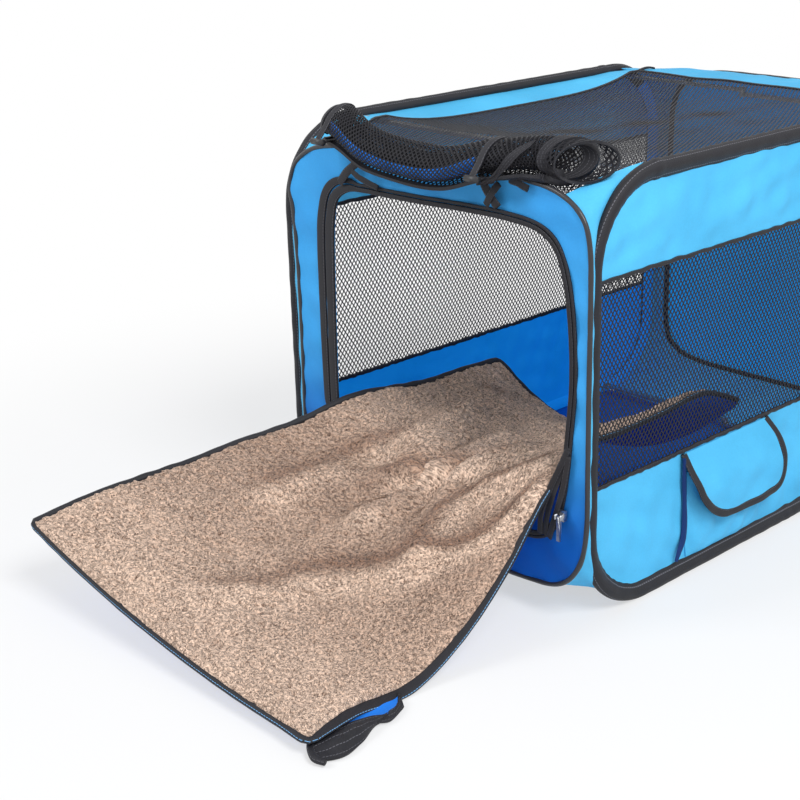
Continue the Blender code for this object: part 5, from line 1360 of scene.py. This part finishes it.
across, along = mat_grid(385, 248, PILE_INSET)
under, up = mat_under(across, along), mat_up(across, along)
u, v = across * MAT_WIDTH / 2, along * MAT_LENGTH
crown = MAT_CROWN * (1 - across**4) * (1 - np.abs(2 * along - 1) ** 8)
dome = tufting(u + ripples(u, v, 122, ((0.03, 4),), 0.004), v + ripples(u, v, 124, ((0.03, 4),), 0.004))
tufts = TUFT_RISE * (dome - TUFT_MIDDLE) + ripples(u, v, 121, ((0.019, 5), (0.009, 6)), 0.0014)
lumps = ripples(u, v, 123, ((0.12, 4), (0.06, 4)), 0.0022)
folds = sum(height * ridge(u, v, line, width) for height, width, line in FOLD_LINES)
from_edge = np.minimum(1 - np.abs(across), np.minimum(along, 1 - along) * MAT_LENGTH / MAT_WIDTH * 2)
full = 0.45 + 0.55 * np.clip(from_edge / 0.05, 0, 1)
rise = MAT_BASE + np.maximum((MAT_PILE + crown + tufts + lumps + folds) * full, PILE_LEAST)
fleece, tree, shader = material("fleece_pile", 0.95, 0.1, sheen=0.2)
spot = tree.node("UVMap", "UV")
tuft_relief_and_shade, nap = (tree.node("Attribute", "Fac", attribute_name=name) for name in ("tuft", "nap"))
# Short squiggles of shadow, where a noise passes its middle value and a second one lets it
shade = 0.0
for scale, width, seed, weight in SQUIGGLES:
    apart = tree.node("VectorMath", 0, {0: spot, 1: (seed, 0.0, seed)}, operation="ADD")
    twirl = tree.noise(scale, 1.0, Vector=apart, Distortion=1.6)
    breaks = tree.noise(scale * 1.3, 1.0, Vector=apart)
    near = (tree.maths("ABSOLUTE", twirl - 0.5) * width).limited()
    shade = (1.0 - near) * ((breaks - 0.40) * 8.0).limited() * weight + shade
hair, wide = tree.noise(900.0, Vector=spot), tree.noise(14.0, Vector=spot)
# The tone is darker in the gaps between tufts: painted shade in the crevices
tone = 0.90 - shade * 0.82 + (hair - 0.5) * 0.6 + (wide - 0.5) * 0.5 + (tuft_relief_and_shade - 0.5) * 0.25
tone = tone.limited()
# Painted light: the pile's shaded colour and its lit colour, mixed by the painted light level
deep, pale = tree.mix(tone, *FLEECE_SHADED), tree.mix(tone, *FLEECE_LIT)
tree.mix((nap * 0.5 + 0.5).limited(), deep, pale).to(shader, "Base Color")
(tuft_relief_and_shade * 0.5 - shade + hair * 0.3).bump(shader, 1.0, 0.0018)
uv, faces = np.broadcast_to(joined(u, v), (2, *u.shape, 2)), doubled_faces(*u.shape)
points = np.stack([under + up * rise[..., None], under + up * MAT_BASE])
pile = mend(finish_mesh("mat_fleece_pile", points, faces, uv, fleece))
# Painted light: the pile is painted paler where a fold turns to the outer end and the right, as if lit from there,
# darker where it turns away, and paler at that end
slope = 0.75 * np.gradient(folds, axis=0) / np.gradient(v, axis=0)
slope = slope - 0.65 * np.gradient(folds, axis=1) / np.gradient(u, axis=1)
painted_light_level = PAINTED_FOLD_LIGHT * slope + np.interp(along, *zip(*PAINTED_LIGHT_ENDS))
for key, value in (("tuft", dome), ("nap", painted_light_level)):
    values = np.tile(value.ravel(), 2).astype(np.float32)
    pile.data.attributes.new(key, "FLOAT", "POINT").data.foreach_set("value", values)
shell(pile, "fleece_pile", "mat_fleece", body="mat")
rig.padded(pile, fill=0.3)


# ---- Mat edge ----
# A woven tape with blue stitches is folded over the mat's edge. On the left and inner edges it stands up
# past the pile, and on the right it widens to a doubled hem that lies out on the ground.
HEM_WIDE, HEM_THIN, TAPE_HALF, TAPE_UP, STAND, ON_EDGE = 0.010, 0.55, 0.0050, 0.0038, 0.55, 0.97
HEM_PLACES, HEM_WIDTHS = (0.0, 0.05, 0.16, 0.30, 0.45, 1.0), (0.2, 0.7, 1.0, 0.55, 0.04, 0.0)
STITCH_BLUE = (0.20, 0.48, 0.85)
mat_webbing = webbing("mat_webbing", CHARCOAL, RIB, STITCH_BLUE, ((0.06, 0.012), (0.94, 0.012)))
shares = np.stack(mat_grid(260, 120, EDGE_INSET), -1)
shares = np.concatenate([shares[0], shares[1:-1, -1], shares[-1, ::-1], shares[-2:0:-1, 0]])
path, up = mat_under(*shares.T), mat_up(*shares.T)
length = lengths(closing(path))
at = np.linspace(0, length[-1], 520, endpoint=False)
path, up = between(at, length, closing(path)), between(at, length, closing(up))
out = away(unit(np.cross(np.roll(path, -1, 0) - np.roll(path, 1, 0), up)), path)
change = 1 + ripples(at, 0, 127, ((0.09, 3), (0.03, 3)), 0.07)
section = (oval(14, TAPE_HALF, TAPE_UP, 1.0, 0.8) + (0.0, TAPE_UP)) * change[:, None, None]
across, along = shares.T
marks = np.stack([(across < -ON_EDGE) | (along > ON_EDGE), across > ON_EDGE, along], -1)
stands, hems, place = between(at, length, np.concatenate([marks, np.zeros((1, 3))])).T
section[..., 1] *= (1 + STAND * evened(stands, 8))[:, None]
hem = evened(hems * np.interp(place, HEM_PLACES, HEM_WIDTHS), 8)[:, None]
spread = hem * np.clip(np.cos(np.linspace(0, FULL_TURN, 14, endpoint=False)), 0, 1)
section[..., 0] += HEM_WIDE * spread
section[..., 1] -= section[..., 1] * HEM_THIN * spread
mat_edge = tube("mat_edge_tape", path, out, up, section, mat_webbing)
shell(mat_edge, "black_binding", "mat_binding", body="mat")


# ---- Mat corner ----
# The loose corner of the mat's underside is turned out on the ground, with its black hem.
FLAP_SAG, HEM_RISE, HEM_LOWEST = 0.003, 0.0025, 0.0021
# Points (x, y, height) lie along the mat's edge, the fold between blue and black, and the hem's outer edge.
CORNER_INNER = (
    (0.2165, -0.7625, 0.0100), (0.211, -0.738, 0.011), (0.209, -0.708, 0.010), (0.208, -0.682, 0.009),
    (0.207, -0.656, 0.008), (0.207, -0.640, 0.007),
)
CORNER_FOLD = (
    (0.2245, -0.7695, 0.0085), (0.223, -0.728, 0.008), (0.231, -0.699, 0.009), (0.240, -0.682, 0.009),
    (0.230, -0.655, 0.007), (0.209, -0.638, 0.005),
)
CORNER_OUTER = (
    (0.2470, -0.7860, 0.003), (0.2595, -0.762, 0.003), (0.2560, -0.735, 0.003), (0.2400, -0.700, 0.003),
    (0.2455, -0.681, 0.003), (0.236, -0.654, 0.003),
)
CORNER_HEM = (
    (0.1985, -0.700, 0.0105), (0.2025, -0.727, 0.0105), (0.2090, -0.7475, 0.0100),
    (0.2185, -0.7660, 0.0095), (0.2305, -0.7785, 0.0085), (0.2460, -0.7860, 0.0065),
    (0.2570, -0.7820, 0.0050),
)
v, u = np.linspace(0, 1, 60), np.linspace(0, 1, 24)
inner, fold_line, outer = (
    table_curve(line, v)[:, None] for line in (CORNER_INNER, CORNER_FOLD, CORNER_OUTER))
blue = blended(inner, fold_line, u[:, None])
blue[..., 2] = np.maximum(blue[..., 2] - FLAP_SAG * arch(u), LOWEST)
turned_out = slab("mat_corner_flap", blue, CLOTH_THICKNESS, joined(u * 0.03, v[:, None] * 0.12), mat_cloth)
shell(turned_out, "blue_fabric", "mat_flap", body="mat")
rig.sheet(turned_out, held="folded", **cut(blue))
black = blended(fold_line, outer, u[:, None])
crumple = ripples(v[:, None] * 0.15, u * 0.03, 131, ((0.05, 3), (0.02, 3)), 0.0016)
black[..., 2] = np.maximum(black[..., 2] + (HEM_RISE + crumple) * arch(u), HEM_LOWEST)
shell(ribbon("mat_corner_fold", black, 0.0026), "black_binding", body="mat")
hem_path = table_curve(CORNER_HEM, v)
corner_hem = band("mat_corner_hem", hem_path, 0.0042, 0.0030, (0, 0, 1), 9, 0.8, 12)
shell(corner_hem, "black_binding", body="mat")


# ---- Steel frame ----
# Zinc-plated tube rings, pressed clips and flat folding bars with rivets, mostly hidden in the cloth.
RING_STEEL, BAR_STEEL = (0.55, 0.56, 0.58), (0.50, 0.51, 0.53)
carried = {
    "steel_tube": metal("ring_steel", RING_STEEL, 0.32),
    "steel_plate": metal("bar_steel", BAR_STEEL, 0.38),
}
for node in frame["nodes"].values():
    for holder in node.material_slots:
        finish = carried.get(holder.material.name.split(".")[0])
        if finish:
            holder.material = finish


# ---- Sizes ----
# The CAD's box and the dressed crate's box, to compare.
bpy.context.view_layer.update()
boxes = {"cad": cad_box, "visual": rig.bounds()}
sizes = {name: [[float(c) for c in corner] for corner in box] for name, box in boxes.items()}
json.dump(sizes, open("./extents.json", "w"))
